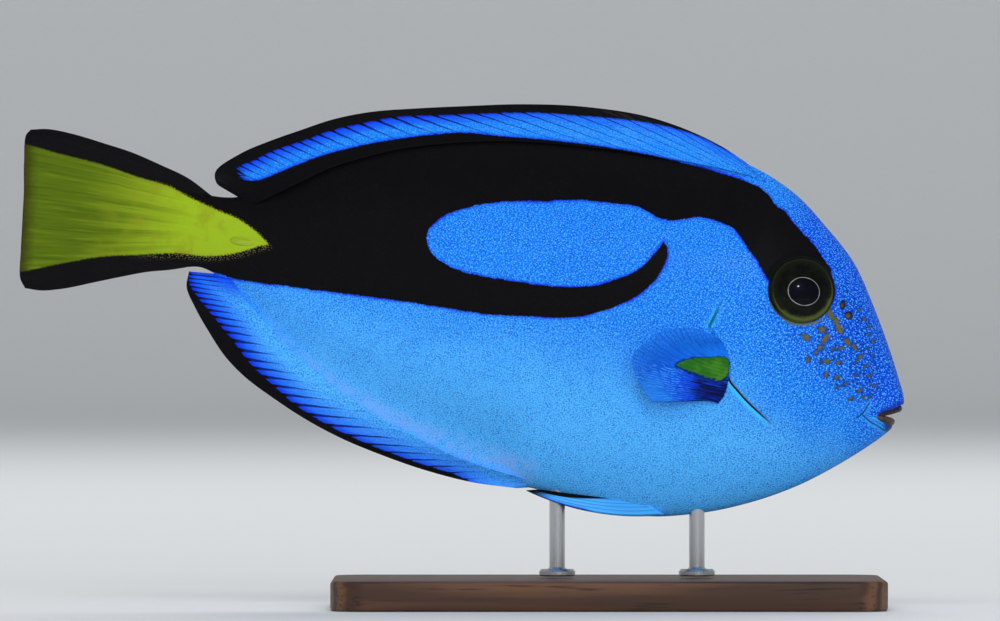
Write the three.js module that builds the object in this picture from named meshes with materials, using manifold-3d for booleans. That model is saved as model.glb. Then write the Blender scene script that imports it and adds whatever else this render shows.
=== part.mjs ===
import * as THREE from 'three';
import { mergeVertices } from 'three/addons/utils/BufferGeometryUtils.js';
import Module from 'manifold-3d';

// Regal blue tang, life size, swimming nose down on a plain display stand. Sizes in millimetres.
// The fish is modelled in its own frame: x forward along the body, y to its left, z up.

// Pose of the fish over the stand
const noseDown = THREE.MathUtils.degToRad(10);
const swimHeight = 48;
const fishShift = -13;

// Gap that touching pieces keep
const gap = 0.3;

// Body sections from the tail end to the snout: back x, back z, belly x, belly z, half width
const bodySections = [
  [-64.8, 5.3, -64.8, 5.3, 0],
  [-64.0, 8.6, -64.0, 2.0, 0.6],
  [-61.6, 12.2, -61.6, -1.8, 1.1],
  [-55.8, 11.2, -55.4, -0.9, 2.3],
  [-50.5, 12.0, -50.8, -2.8, 3.0],
  [-45.0, 14.9, -45.2, -8.0, 3.9],
  [-38.0, 20.0, -38.0, -13.2, 4.9],
  [-29.0, 24.6, -29.0, -18.5, 6.1],
  [-17.0, 28.4, -17.0, -23.1, 7.2],
  [-4.0, 30.5, -4.0, -26.6, 8.0],
  [9.0, 31.5, 9.0, -27.8, 8.5],
  [22.0, 31.7, 22.5, -28.3, 8.6],
  [32.0, 31.4, 34.0, -26.6, 8.2],
  [39.5, 28.6, 42.0, -23.3, 7.7],
  [46.0, 23.8, 48.5, -19.6, 7.0],
  [51.5, 18.8, 53.5, -15.9, 6.1],
  [56.2, 11.9, 57.8, -12.2, 4.9],
  [60.2, 5.0, 60.8, -9.3, 3.6],
  [62.5, 0.5, 62.4, -7.4, 2.5],
  [63.5, -1.6, 63.2, -5.6, 1.5],
  [63.9, -3.6, 63.9, -3.6, 0],
];
const ringsPerSection = 2;
const sidesAround = 32;
// Above 1 the back and belly run to a narrower edge
const edgePinch = 1.2;
// How much wider the flank is above its middle than below it
const upperFullness = 0.06;

// Gill opening, from over the back down to under the belly: x, z
const gillLine = [
  [31.5, 45], [30.5, 26], [30.3, 16], [30.5, 8.1], [29.9, 3.6], [32.2, 1.4], [33.9, -2.0],
  [34.4, -4.0], [38.2, -7.3], [42.7, -10.1], [46.3, -13.0], [49.1, -19.1], [50, -40],
];
const gillOpening = 0.4;
// Gill cover outline, its back part reaching behind the gill opening: x, z
const gillCoverOutline = [
  [27, 8.6], [31.5, 9.2], [36.5, 8.0], [39.8, 3.8], [41.8, -1.5], [44, -6.5], [46.6, -11.2],
  [46.4, -14.2], [39, -12], [30, -6], [25, 2],
];
const gillCoverThickness = 1.3;
const gillCoverRise = 0.35;
// Where the tail stalk is parted from the trunk
const stalkPart = -43;

// Eye: place, width across the ball, depth of the ball, how far it sits in, and its turn
const eyeX = 43.8;
const eyeZ = 12.6;
const eyeRadius = 5.8;
const eyeDepth = 2.2;
const eyeSink = 0.9;
const eyeTurnForward = THREE.MathUtils.degToRad(9);
const eyeTurnUp = THREE.MathUtils.degToRad(10);
const orbitRadius = 5.65;
const orbitRim = 0.42;

// Nostrils, two on each side: x, z, half height
const nostrils = [[50.6, 11.5, 0.75], [51.9, 10.0, 0.65]];
const nostrilRadius = 0.5;
const nostrilDepth = 0.8;

// Mouth: outline of the open gape from the side, and the lips along its edges: x, z
const gape = [[59.7, -5.8], [61.7, -4.4], [66, -2.9], [66, -7.4], [62.8, -6.5], [61.0, -5.95]];
const lipRadius = 0.45;
const upperLip = [[60.2, -3.0, -5.1], [61.8, -2.45, -4.1], [63.1, -1.3, -3.35], [63.5, 0, -3.05]];
const lowerLip = [[60.4, -2.9, -6.2], [61.3, -2.4, -6.35], [61.9, -1.3, -6.6], [62.15, 0, -6.7]];

// Spine on each side of the tail stalk, its point forward
const spineX = -48.2;
const spineZ = 4.4;
const spineLength = 6.4;
const spineRadius = 0.75;
const spineLift = THREE.MathUtils.degToRad(8);
const spineFlatness = 0.7;

// Fins: half thickness of the membrane at root and margin, and height of the ray ridges
const finRootHalf = 0.55;
const finMarginHalf = 0.26;
const rayRidge = 0.24;
const rayFade = 0.6;
const columnsPerRay = 2;

// Dorsal fin: rays from front to rear, each from its root inside the back to its tip: x, z, x, z
const dorsalRays = 28;
const dorsalRayLines = [
  [38.5, 27.6, 36.5, 29.3],
  [36.5, 28.8, 26.0, 34.2],
  [34.0, 29.6, 14.5, 36.7],
  [28.5, 30.2, 3.0, 36.6],
  [18.0, 30.4, -7.5, 35.2],
  [5.5, 30.0, -17.0, 33.2],
  [-7.5, 28.8, -25.0, 31.4],
  [-18.0, 26.6, -32.0, 29.6],
  [-26.0, 24.2, -38.0, 27.3],
  [-32.0, 21.6, -43.2, 24.5],
  [-37.0, 19.0, -48.0, 21.8],
  [-41.5, 15.8, -52.4, 18.7],
  [-46.0, 12.8, -55.5, 15.5],
  [-48.0, 11.0, -54.6, 12.8],
];

// Anal fin: rays from front to rear, each from its root inside the belly to its tip
const analRays = 24;
const analRayLines = [
  [8.5, -26.6, 2.6, -28.0],
  [3.0, -26.0, -5.0, -28.3],
  [-2.5, -25.4, -12.8, -27.7],
  [-7.5, -24.6, -20.3, -26.5],
  [-12.5, -23.2, -27.5, -24.9],
  [-19.0, -21.2, -34.2, -22.7],
  [-24.6, -19.0, -40.0, -20.2],
  [-29.2, -17.0, -45.0, -17.7],
  [-33.8, -14.4, -49.0, -14.8],
  [-39.2, -10.8, -52.5, -11.1],
  [-44.0, -7.4, -55.3, -7.7],
  [-47.6, -4.4, -57.3, -4.6],
  [-50.5, -1.3, -57.4, -1.9],
];

// Tail fin by its four edges, the upper and lower ones from the stalk outwards: x, z
const caudalRays = 16;
const caudalTop = [[-55.5, 11.0], [-60.2, 13.4], [-65.2, 14.8], [-70.2, 16.0], [-75.2, 16.7],
  [-80.2, 17.3], [-84.6, 17.4], [-88.1, 16.3]];
const caudalBottom = [[-56.0, -0.6], [-60.2, -2.3], [-64.5, -4.0], [-68.8, -5.7], [-73.0, -7.5],
  [-77.2, -9.2], [-81.0, -10.4], [-84.3, -10.1]];
const caudalRoot = [[-55.5, 11.0], [-59.8, 9.3], [-61.8, 5.3], [-60.0, 1.4], [-56.0, -0.6]];
const caudalTip = [[-88.1, 16.3], [-87.5, 11.0], [-86.6, 4.6], [-85.7, -2.2], [-84.3, -10.1]];

// Pectoral fin, uppermost ray to lowest: root, bend and tip of the rays as x, z, and how far
// the bend and the tip stand off the flank
const pectoralRays = 14;
const pectoralRoot = [[32.7, -0.6], [33.5, -2.6], [33.2, -5.2], [31.9, -8.0]];
const pectoralBend = [[32.2, 1.0], [26.4, -1.4], [22.4, -4.2], [22.4, -7.0], [26.2, -8.4]];
const pectoralTip = [[30.2, 3.2], [25.0, 3.3], [21.7, 1.9], [19.2, -0.3], [17.5, -2.7],
  [17.6, -5.2], [19.9, -8.4], [22.0, -9.8]];
const pectoralBendStand = [1.6, 3.4, 4.0, 2.8];
const pectoralTipStand = [2.6, 5.2, 6.2, 4.4];
const pectoralRootSink = 0.9;
const pectoralRootHalf = 1.15;

// Pelvic fin folded back along the belly, lower ray to upper: root, bend and tip as x, z
const pelvicRays = 4;
const pelvicRoot = [[26.2, -27.2], [24.5, -26.6], [22.8, -26.2]];
const pelvicBend = [[14.5, -31.2], [14.4, -29.2], [14.3, -27.4]];
const pelvicTip = [[4.3, -27.7], [5.2, -27.8], [6.6, -28.0]];
const pelvicAside = 1.6;
const pelvicTipAside = 2.3;

// Stand: base plate, and two rods given by where they meet the belly in the fish's own frame
const baseLength = 92;
const baseWidth = 54;
const baseThickness = 5;
const baseCorner = 6;
const baseBevel = 0.6;
const rodRadius = 1.3;
const rodTrim = 4;
const collarRadius = 3;
const collarHeight = 1.2;
const rodFeet = { stand_rod_front: [33, -27], stand_rod_rear: [9.5, -27.8] };

// Fineness of the round forms: segments round them
const eyeSegments = [22, 11];
const orbitSegments = [5, 22];
const nostrilSegments = [8, 6];
const lipSegments = [12, 7];
const spineSides = 10;
const rodSides = 20;
const coverEdgePoints = 36;
const cornerSegments = 6;
const bevelSteps = 2;
const finRows = { dorsal: 3, anal: 4, caudal: 6, pectoral: 7, pelvic: 8 };

const wasm = await Module();
wasm.setup();

// Solids and geometries

function toSolid(geometry) {
  const bare = geometry.clone();
  bare.deleteAttribute('normal');
  bare.deleteAttribute('uv');
  const merged = mergeVertices(bare);
  const vertProperties = Float32Array.from(merged.attributes.position.array);
  const triVerts = Uint32Array.from(merged.index.array);
  return new wasm.Manifold(new wasm.Mesh({ numProp: 3, vertProperties, triVerts }));
}

function toGeometry(solid) {
  const pieces = solid.decompose();
  const largest = pieces.reduce((best, piece) => (piece.volume() > best.volume() ? piece : best));
  const mesh = largest.getMesh();
  const geometry = new THREE.BufferGeometry();
  geometry.setAttribute('position', new THREE.BufferAttribute(mesh.vertProperties, 3));
  geometry.setIndex(new THREE.BufferAttribute(mesh.triVerts, 1));
  geometry.computeVertexNormals();
  return geometry;
}

function upright(x, z) {
  return new THREE.Vector3(x, 0, z);
}

function lineThrough(points) {
  return new THREE.CatmullRomCurve3(points.map(([x, z]) => upright(x, z)));
}

// Value along an evenly spaced list, eased between its entries
function along(values, share) {
  const curve = new THREE.SplineCurve(values.map((value, i) => new THREE.Vector2(i, value)));
  return curve.getPoint(share).y;
}

// A prism across the body whose outline is drawn in the x-z plane
function prism(outline, halfDepth) {
  const shape = new THREE.Shape(outline.map(([x, z]) => new THREE.Vector2(x, z)));
  const geometry = new THREE.ExtrudeGeometry(shape, { depth: 2 * halfDepth, bevelEnabled: false });
  geometry.rotateX(Math.PI / 2);
  geometry.translate(0, halfDepth, 0);
  return geometry;
}

// Body

const backCurve = new THREE.CatmullRomCurve3(
  bodySections.map(([x, z, , , half]) => new THREE.Vector3(x, half, z)),
);
const bellyCurve = new THREE.CatmullRomCurve3(
  bodySections.map(([, , x, z, half]) => new THREE.Vector3(x, half, z)),
);

function flankShare(height) {
  return (1 - height * height) ** (edgePinch / 2) * (1 + upperFullness * height);
}

// The body surface, or one grown by the given distance all round
function bodyGeometry(grow) {
  const rings = (bodySections.length - 1) * ringsPerSection;
  const geometry = new THREE.SphereGeometry(1, sidesAround, rings);
  const { position, uv } = geometry.attributes;
  for (let i = 0; i < position.count; i += 1) {
    const share = 1 - uv.getY(i);
    const back = backCurve.getPoint(share);
    const belly = bellyCurve.getPoint(share);
    const middle = back.clone().add(belly).multiplyScalar(0.5);
    const pole = share < 1e-6 || share > 1 - 1e-6;
    if (pole) {
      position.setXYZ(i, middle.x + grow * Math.sign(share - 0.5), 0, middle.z);
    } else {
      const angle = 2 * Math.PI * uv.getX(i);
      const height = Math.cos(angle);
      const side = Math.sign(Math.sin(angle)) * (middle.y + grow) * flankShare(height);
      const rise = back.clone().sub(belly).multiplyScalar(0.5);
      rise.y = 0;
      rise.setLength(rise.length() + grow);
      position.setXYZ(i, middle.x + height * rise.x, side, middle.z + height * rise.z);
    }
  }
  return geometry;
}

// Half width of the body at a place on its flank
const halvings = 40;

function flankAt(x, z) {
  let low = 0;
  let high = 1;
  for (let step = 0; step < halvings; step += 1) {
    const share = (low + high) / 2;
    const back = backCurve.getPoint(share);
    const belly = bellyCurve.getPoint(share);
    const lift = (z - belly.z) / (back.z - belly.z);
    if (belly.x + (back.x - belly.x) * lift < x) low = share;
    else high = share;
  }
  const back = backCurve.getPoint(low);
  const belly = bellyCurve.getPoint(low);
  const height = THREE.MathUtils.clamp((2 * z - back.z - belly.z) / (back.z - belly.z), -1, 1);
  return back.y * flankShare(height);
}

const body = toSolid(bodyGeometry(0));
const bodyClear = toSolid(bodyGeometry(gap));

// Parting of the body into head, gill covers, trunk and tail stalk

const farFront = 90;
const farRear = -90;
const tall = 60;

function aheadOfGills(shift) {
  const edge = gillLine.map(([x, z]) => [x + shift, z]);
  return toSolid(prism([...edge, [farFront, -tall], [farFront, tall]], tall));
}

function block(fromX, toX) {
  return toSolid(prism([[fromX, -tall], [toX, -tall], [toX, tall], [fromX, tall]], tall));
}

const headSpace = aheadOfGills(gillOpening / 2);
const trunkSpace = block(stalkPart + gap / 2, farFront).subtract(aheadOfGills(-gillOpening / 2));
const stalkSpace = block(farRear, stalkPart - gap / 2);

function gillCoverPrism(grow) {
  const outline = lineThrough(gillCoverOutline);
  outline.closed = true;
  const points = outline.getPoints(coverEdgePoints).slice(0, -1);
  const centre = points.reduce((sum, point) => sum.add(point), new THREE.Vector3());
  centre.divideScalar(points.length);
  const grown = points.map((point) => {
    const out = point.clone().sub(centre).setLength(grow);
    return [point.x + out.x, point.z + out.z];
  });
  return toSolid(prism(grown, tall));
}

function gillCovers() {
  const outer = toSolid(bodyGeometry(gillCoverRise));
  const inner = toSolid(bodyGeometry(-gillCoverThickness));
  return outer.subtract(inner).intersect(gillCoverPrism(0)).intersect(headSpace);
}

function gillRecess() {
  return gillCoverPrism(gap).subtract(toSolid(bodyGeometry(-gillCoverThickness - gap)));
}

function sideHalf(solid, side) {
  const half = new THREE.BoxGeometry(4 * tall, 2 * tall, 4 * tall);
  half.translate(0, side * tall, 0);
  return solid.intersect(toSolid(half));
}

// Eyes

function placeOnFlank(geometry, side, x, z, sink) {
  geometry.rotateX(side * eyeTurnUp);
  geometry.rotateZ(-side * eyeTurnForward);
  geometry.translate(x, side * (flankAt(x, z) - sink), z);
  return geometry;
}

function eyeGeometry(side, grow) {
  const ball = new THREE.SphereGeometry(1, ...eyeSegments);
  ball.rotateX(Math.PI / 2);
  ball.scale(eyeRadius + grow, eyeDepth + grow, eyeRadius + grow);
  return placeOnFlank(ball, side, eyeX, eyeZ, eyeSink);
}

function orbitGeometry(side) {
  const ring = new THREE.TorusGeometry(orbitRadius, orbitRim, ...orbitSegments);
  ring.rotateX(Math.PI / 2);
  return placeOnFlank(ring, side, eyeX, eyeZ, orbitRim / 2);
}

// Nostrils and mouth

function nostrilGeometry(side, [x, z, halfHeight]) {
  const pit = new THREE.SphereGeometry(1, ...nostrilSegments);
  pit.scale(nostrilRadius, nostrilDepth, halfHeight);
  return placeOnFlank(pit, side, x, z, 0);
}

function lipGeometry(points, radius) {
  const near = points.map(([x, y, z]) => new THREE.Vector3(x, y, z));
  const far = points.slice(0, -1).reverse().map(([x, y, z]) => new THREE.Vector3(x, -y, z));
  const path = new THREE.CatmullRomCurve3([...near, ...far]);
  const section = new THREE.Shape();
  section.absarc(0, 0, radius, 0, 2 * Math.PI);
  const [steps, curveSegments] = lipSegments;
  const settings = { steps, curveSegments, bevelEnabled: false, extrudePath: path };
  return new THREE.ExtrudeGeometry(section, settings);
}

function headSolid() {
  let head = body.intersect(headSpace).subtract(gillRecess());
  for (const side of [-1, 1]) {
    head = head.add(toSolid(orbitGeometry(side)));
    head = head.subtract(toSolid(eyeGeometry(side, gap)));
    for (const nostril of nostrils) head = head.subtract(toSolid(nostrilGeometry(side, nostril)));
  }
  head = head.subtract(toSolid(prism(gape, tall)));
  for (const lip of [upperLip, lowerLip]) {
    head = head.subtract(toSolid(lipGeometry(lip, lipRadius + gap)));
  }
  return head;
}

// Tail stalk with a shallow groove for each spine

function spineGeometry(side, grow) {
  const half = spineLength / 2 + grow;
  const radius = spineRadius + grow;
  const profile = [[0, -half], [0.7 * radius, -0.85 * half], [radius, -0.3 * half],
    [0.75 * radius, 0.3 * half], [0, half]];
  const outline = profile.map(([r, x]) => new THREE.Vector2(r, x));
  const spine = new THREE.LatheGeometry(outline, spineSides);
  spine.rotateZ(-Math.PI / 2);
  spine.scale(1, spineFlatness, 1);
  spine.rotateZ(side * spineLift);
  spine.translate(spineX, side * flankAt(spineX, spineZ), spineZ);
  return spine;
}

function stalkSolid() {
  let stalk = body.intersect(stalkSpace);
  for (const side of [-1, 1]) stalk = stalk.subtract(toSolid(spineGeometry(side, gap)));
  return stalk;
}

// Fins: a membrane with raised rays, made as a sheet with two alike faces and a rim

function finGeometry(surface, rays, rows, rootHalf = finRootHalf) {
  const columns = rays * columnsPerRay;
  const sheet = new THREE.PlaneGeometry(1, 1, columns, rows);
  const { uv } = sheet.attributes;
  const count = uv.count;
  const places = new Float32Array(6 * count);
  const nudge = 1e-3;
  for (let i = 0; i < count; i += 1) {
    const ray = uv.getX(i);
    const reach = 1 - uv.getY(i);
    const place = surface(ray, reach);
    const across = surface(Math.min(ray + nudge, 1), reach);
    across.sub(surface(Math.max(ray - nudge, 0), reach));
    const out = surface(ray, Math.min(reach + nudge, 1));
    out.sub(surface(ray, Math.max(reach - nudge, 0)));
    const normal = out.cross(across).normalize();
    const crest = Math.round(ray * columns) % 2 === 1 ? 1 : 0;
    const membrane = finMarginHalf + (rootHalf - finMarginHalf) * (1 - reach) ** 2;
    const half = membrane + rayRidge * crest * (1 - rayFade * reach);
    place.clone().addScaledVector(normal, half).toArray(places, 3 * i);
    place.clone().addScaledVector(normal, -half).toArray(places, 3 * (i + count));
  }
  const index = [];
  const face = sheet.index.array;
  for (let i = 0; i < face.length; i += 3) {
    index.push(face[i], face[i + 1], face[i + 2]);
    index.push(face[i] + count, face[i + 2] + count, face[i + 1] + count);
  }
  const rim = rimOf(columns, rows);
  rim.forEach((a, k) => {
    const b = rim[(k + 1) % rim.length];
    index.push(a, b, b + count);
    index.push(a, b + count, a + count);
  });
  const geometry = new THREE.BufferGeometry();
  geometry.setAttribute('position', new THREE.BufferAttribute(places, 3));
  geometry.setIndex(index);
  return geometry;
}

// Vertices round the edge of a sheet, against the turn of its faces
function rimOf(columns, rows) {
  const at = (column, row) => row * (columns + 1) + column;
  const rim = [];
  for (let column = 0; column < columns; column += 1) rim.push(at(column, 0));
  for (let row = 0; row < rows; row += 1) rim.push(at(columns, row));
  for (let column = columns; column > 0; column -= 1) rim.push(at(column, rows));
  for (let row = rows; row > 0; row -= 1) rim.push(at(0, row));
  return rim;
}

function finOutsideBody(geometry) {
  return toSolid(geometry).subtract(bodyClear);
}

// A flat fin given by its rays
function alongRays(rayLines) {
  const root = lineThrough(rayLines.map(([x, z]) => [x, z]));
  const tip = lineThrough(rayLines.map(([, , x, z]) => [x, z]));
  return (ray, reach) => root.getPoint(ray).lerp(tip.getPoint(ray), reach);
}

// A flat fin that fills the space between its four edges
function betweenEdges(...edges) {
  const [top, bottom, root, tip] = edges.map(lineThrough);
  return (ray, reach) => {
    const place = top.getPoint(reach).multiplyScalar(1 - ray);
    place.addScaledVector(bottom.getPoint(reach), ray);
    place.addScaledVector(root.getPoint(ray), 1 - reach);
    place.addScaledVector(tip.getPoint(ray), reach);
    place.addScaledVector(top.getPoint(0), -(1 - ray) * (1 - reach));
    place.addScaledVector(top.getPoint(1), -(1 - ray) * reach);
    place.addScaledVector(bottom.getPoint(0), -ray * (1 - reach));
    place.addScaledVector(bottom.getPoint(1), -ray * reach);
    return place;
  };
}

// A ray that leaves its root, bends and runs on to its tip
function bentRay(root, bend, tip, reach) {
  return new THREE.QuadraticBezierCurve3(root, bend, tip).getPoint(reach);
}

function pectoralFin(side) {
  const root = lineThrough(pectoralRoot);
  const bend = lineThrough(pectoralBend);
  const tip = lineThrough(pectoralTip);
  const offFlank = (point, stand) => {
    const across = flankAt(point.x, point.z) + stand;
    return new THREE.Vector3(point.x, side * across, point.z);
  };
  const surface = (ray, reach) => bentRay(
    offFlank(root.getPoint(ray), -pectoralRootSink),
    offFlank(bend.getPoint(ray), along(pectoralBendStand, ray)),
    offFlank(tip.getPoint(ray), along(pectoralTipStand, ray)),
    reach,
  );
  const fan = orient(finGeometry(surface, pectoralRays, finRows.pectoral, pectoralRootHalf));
  return finOutsideBody(fan).subtract(coverClear);
}

function pelvicFin(side) {
  const root = lineThrough(pelvicRoot);
  const bend = lineThrough(pelvicBend);
  const tip = lineThrough(pelvicTip);
  const aside = (point, distance) => new THREE.Vector3(point.x, side * distance, point.z);
  const surface = (ray, reach) => bentRay(
    aside(root.getPoint(ray), pelvicAside),
    aside(bend.getPoint(ray), pelvicTipAside),
    aside(tip.getPoint(ray), pelvicTipAside),
    reach,
  );
  return finOutsideBody(orient(finGeometry(surface, pelvicRays, finRows.pelvic)));
}

// Turns the faces the right way out where a fin is the mirror copy of another
function orient(geometry) {
  if (toSolid(geometry).volume() > 0) return geometry;
  const index = geometry.index.array;
  for (let i = 0; i < index.length; i += 3) [index[i], index[i + 1]] = [index[i + 1], index[i]];
  return geometry;
}

// Stand

const fishPlace = new THREE.Matrix4().makeRotationY(noseDown);
fishPlace.setPosition(fishShift, 0, swimHeight);
const bodyOverStand = toSolid(bodyGeometry(gap).applyMatrix4(fishPlace));

function standBase() {
  const x = baseLength / 2 - baseBevel;
  const y = baseWidth / 2 - baseBevel;
  const shape = new THREE.Shape();
  shape.moveTo(-x + baseCorner, -y);
  shape.lineTo(x - baseCorner, -y);
  shape.absarc(x - baseCorner, -y + baseCorner, baseCorner, -Math.PI / 2, 0);
  shape.absarc(x - baseCorner, y - baseCorner, baseCorner, 0, Math.PI / 2);
  shape.absarc(-x + baseCorner, y - baseCorner, baseCorner, Math.PI / 2, Math.PI);
  shape.absarc(-x + baseCorner, -y + baseCorner, baseCorner, Math.PI, 1.5 * Math.PI);
  const plate = new THREE.ExtrudeGeometry(shape, {
    depth: baseThickness - 2 * baseBevel,
    bevelSize: baseBevel,
    bevelThickness: baseBevel,
    bevelSegments: bevelSteps,
    curveSegments: cornerSegments,
  });
  return plate.translate(0, 0, baseBevel);
}

function standRod([x, z]) {
  const foot = baseThickness + gap;
  const meet = upright(x, z).applyMatrix4(fishPlace);
  const top = meet.z + rodTrim;
  const profile = [[0, foot], [collarRadius, foot], [collarRadius, foot + collarHeight],
    [rodRadius, foot + collarHeight], [rodRadius, top], [0, top]];
  const outline = profile.map(([r, h]) => new THREE.Vector2(r, h));
  const rod = new THREE.LatheGeometry(outline, rodSides);
  rod.rotateX(Math.PI / 2);
  rod.translate(meet.x, 0, 0);
  return toSolid(rod).subtract(bodyOverStand);
}

// Pieces with their finishes

const coverClear = toSolid(bodyGeometry(gillCoverRise + gap)).intersect(gillCoverPrism(gap))
  .intersect(aheadOfGills(gillOpening / 2 - gap));

function finish(color, roughness, metalness = 0) {
  return new THREE.MeshStandardMaterial({ color, roughness, metalness });
}

const group = new THREE.Group();
const fish = new THREE.Group();
fish.position.set(fishShift, 0, swimHeight);
fish.rotation.y = noseDown;
group.add(fish);

function addPiece(parent, name, geometry, material) {
  const mesh = new THREE.Mesh(geometry, material);
  mesh.name = name;
  parent.add(mesh);
}

function addFishPiece(name, solid, color, roughness) {
  addPiece(fish, name, toGeometry(solid), finish(color, roughness));
}

const skinBlue = 0x3d8cf5;
const bandBlack = 0x121114;
const tailYellow = 0xb9bf33;
const lipBrown = 0x5a5148;
const eyeDark = 0x10150f;
const spineGold = 0xa8ad3c;
const covers = gillCovers();
addFishPiece('head', headSolid(), skinBlue, 0.45);
addFishPiece('trunk', body.intersect(trunkSpace), skinBlue, 0.45);
addFishPiece('tail_stalk', stalkSolid(), bandBlack, 0.45);
addFishPiece('upper_lip', toSolid(lipGeometry(upperLip, lipRadius)), lipBrown, 0.4);
addFishPiece('lower_lip', toSolid(lipGeometry(lowerLip, lipRadius)), lipBrown, 0.4);
const backFin = finGeometry(alongRays(dorsalRayLines), dorsalRays, finRows.dorsal);
addFishPiece('dorsal_fin', finOutsideBody(backFin), skinBlue, 0.5);
const bellyFin = finGeometry(alongRays(analRayLines), analRays, finRows.anal);
addFishPiece('anal_fin', finOutsideBody(bellyFin), skinBlue, 0.5);
const tailSheet = betweenEdges(caudalTop, caudalBottom, caudalRoot, caudalTip);
const tailFin = finGeometry(tailSheet, caudalRays, finRows.caudal);
addFishPiece('caudal_fin', finOutsideBody(tailFin), tailYellow, 0.5);
for (const [sideName, side] of [['right', -1], ['left', 1]]) {
  addFishPiece(`gill_cover_${sideName}`, sideHalf(covers, side), skinBlue, 0.45);
  addFishPiece(`eye_${sideName}`, toSolid(eyeGeometry(side, 0)), eyeDark, 0.1);
  addFishPiece(`pectoral_fin_${sideName}`, pectoralFin(side), skinBlue, 0.5);
  addFishPiece(`pelvic_fin_${sideName}`, pelvicFin(side), skinBlue, 0.5);
  addFishPiece(`caudal_spine_${sideName}`, toSolid(spineGeometry(side, 0)), spineGold, 0.35);
}
addPiece(group, 'stand_base', standBase(), finish(0x3a2417, 0.5));
for (const [name, meet] of Object.entries(rodFeet)) {
  addPiece(group, name, toGeometry(standRod(meet)), finish(0xb8bcc0, 0.3, 1));
}

export default group;
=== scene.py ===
import math

import bmesh
import bpy
import numpy as np
from mathutils import Matrix


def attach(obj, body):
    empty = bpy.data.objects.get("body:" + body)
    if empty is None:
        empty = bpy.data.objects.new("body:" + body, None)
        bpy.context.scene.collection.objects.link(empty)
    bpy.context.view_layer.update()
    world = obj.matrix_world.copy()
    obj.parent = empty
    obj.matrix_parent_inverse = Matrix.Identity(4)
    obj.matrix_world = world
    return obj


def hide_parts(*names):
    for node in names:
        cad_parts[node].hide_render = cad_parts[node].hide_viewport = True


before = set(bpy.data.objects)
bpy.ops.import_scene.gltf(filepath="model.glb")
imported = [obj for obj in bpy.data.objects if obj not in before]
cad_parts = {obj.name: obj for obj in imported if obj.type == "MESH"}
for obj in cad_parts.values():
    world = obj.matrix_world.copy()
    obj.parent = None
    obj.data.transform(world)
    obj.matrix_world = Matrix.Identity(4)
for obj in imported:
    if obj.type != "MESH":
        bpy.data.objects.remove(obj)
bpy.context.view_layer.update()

# Regal blue tang, life size, swimming nose down on a plain display stand. The fish is modelled in
# millimetres in its own frame, x forward, y to its left, z up, and then set in its pose in metres.

mm = 0.001
nose_down = math.radians(10)
swim_height = 48
fish_shift = -13
in_place = (
    Matrix.Translation((fish_shift * mm, 0, swim_height * mm))
    @ Matrix.Rotation(nose_down, 4, "Y")
    @ Matrix.Scale(mm, 4)
)
stand_in_place = Matrix.Scale(mm, 4)
sides = {"right": -1, "left": 1}

# Body sections from the tail end to the snout: back x, back z, belly x, belly z, half width
body_sections = [
    (-64.8, 5.3, -64.8, 5.3, 0), (-64.0, 8.6, -64.0, 2.0, 0.6), (-61.6, 12.2, -61.6, -1.8, 1.1),
    (-55.8, 11.2, -55.4, -0.9, 2.3), (-50.5, 12.0, -50.8, -2.8, 3.0), (-45.0, 14.9, -45.2, -8.0, 3.9),
    (-38.0, 20.0, -38.0, -13.2, 4.9), (-29.0, 24.6, -29.0, -18.5, 6.1), (-17.0, 28.4, -17.0, -23.1, 7.2),
    (-4.0, 30.5, -4.0, -26.6, 8.0), (9.0, 31.5, 9.0, -27.8, 8.5), (22.0, 31.7, 23.5, -28.95, 8.6),
    (32.0, 31.4, 34.0, -26.6, 8.2), (39.5, 28.6, 42.0, -23.3, 7.7), (46.0, 23.8, 48.5, -19.6, 7.0),
    (51.5, 18.8, 53.5, -15.9, 6.1), (56.2, 11.9, 57.8, -12.2, 4.9), (60.2, 5.0, 60.8, -9.3, 3.6),
    (62.5, 0.5, 62.4, -7.4, 2.5), (63.5, -1.6, 63.2, -5.6, 1.5), (63.9, -3.6, 63.9, -3.6, 0),
]
edge_pinch = 1.2
keel_pinch = 0.95
keel_reach = 0.5
upper_fullness = 0.06

# Places on the head and tail stalk: x, z
eye_centre = (43.5, 12.65)
socket_rim = 5.75
socket_edge = 5.55
nostrils = [(50.7, 11.5, 0.42, 0.68), (52.0, 9.95, 0.62, 0.62)]
spine_centre = (-48.4, 4.5)
spine_sink = 0.40

# Lines in the skin, seen from the side: x, z
gill_slit = [
    (30.9, 9.2), (30.3, 6.4), (29.7, 3.6), (30.9, 2.6), (32.4, 1.3), (33.5, -0.5), (34.1, -2.2),
    (34.3, -3.9), (36.1, -5.6), (38.3, -7.3), (42.8, -10.2), (45.0, -11.8),
]
jaw_fold = [(57.95, -3.9), (57.1, -5.9), (56.5, -6.5)]
lower_jaw_fold = [(57.1, -5.9), (58.8, -6.9), (60.4, -7.5), (61.2, -7.9)]
lip_glow = [(58.9, -6.1), (60.0, -6.35), (61.2, -6.75)]
cheek_ridge = [(38.2, 6.5), (37.9, 1.0), (39.6, -4.0), (43.6, -8.2), (49.5, -10.6)]
gape = [
    (59.7, -5.6), (61.2, -4.65), (62.4, -3.8), (63.5, -3.05), (67, -1.6), (67, -6.0), (62.6, -5.9),
    (61.0, -5.85),
]
lower_jaw_set_back = 0.35
upper_lip_edge = [(59.9, -5.2), (61.2, -4.3), (62.4, -3.45), (63.6, -2.6)]
freckle_patch = [
    (48.6, 15.5), (50.8, 16.2), (54.5, 11.5), (58.5, 5.0), (60.5, -0.5), (57.5, -3.6), (52.0, -3.0),
    (49.0, -1.0), (46.0, 3.0), (46.5, 6.5), (49.5, 8.0), (50.0, 11.5),
]
gape_floor = (59.6, 0, -5.5)

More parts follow.
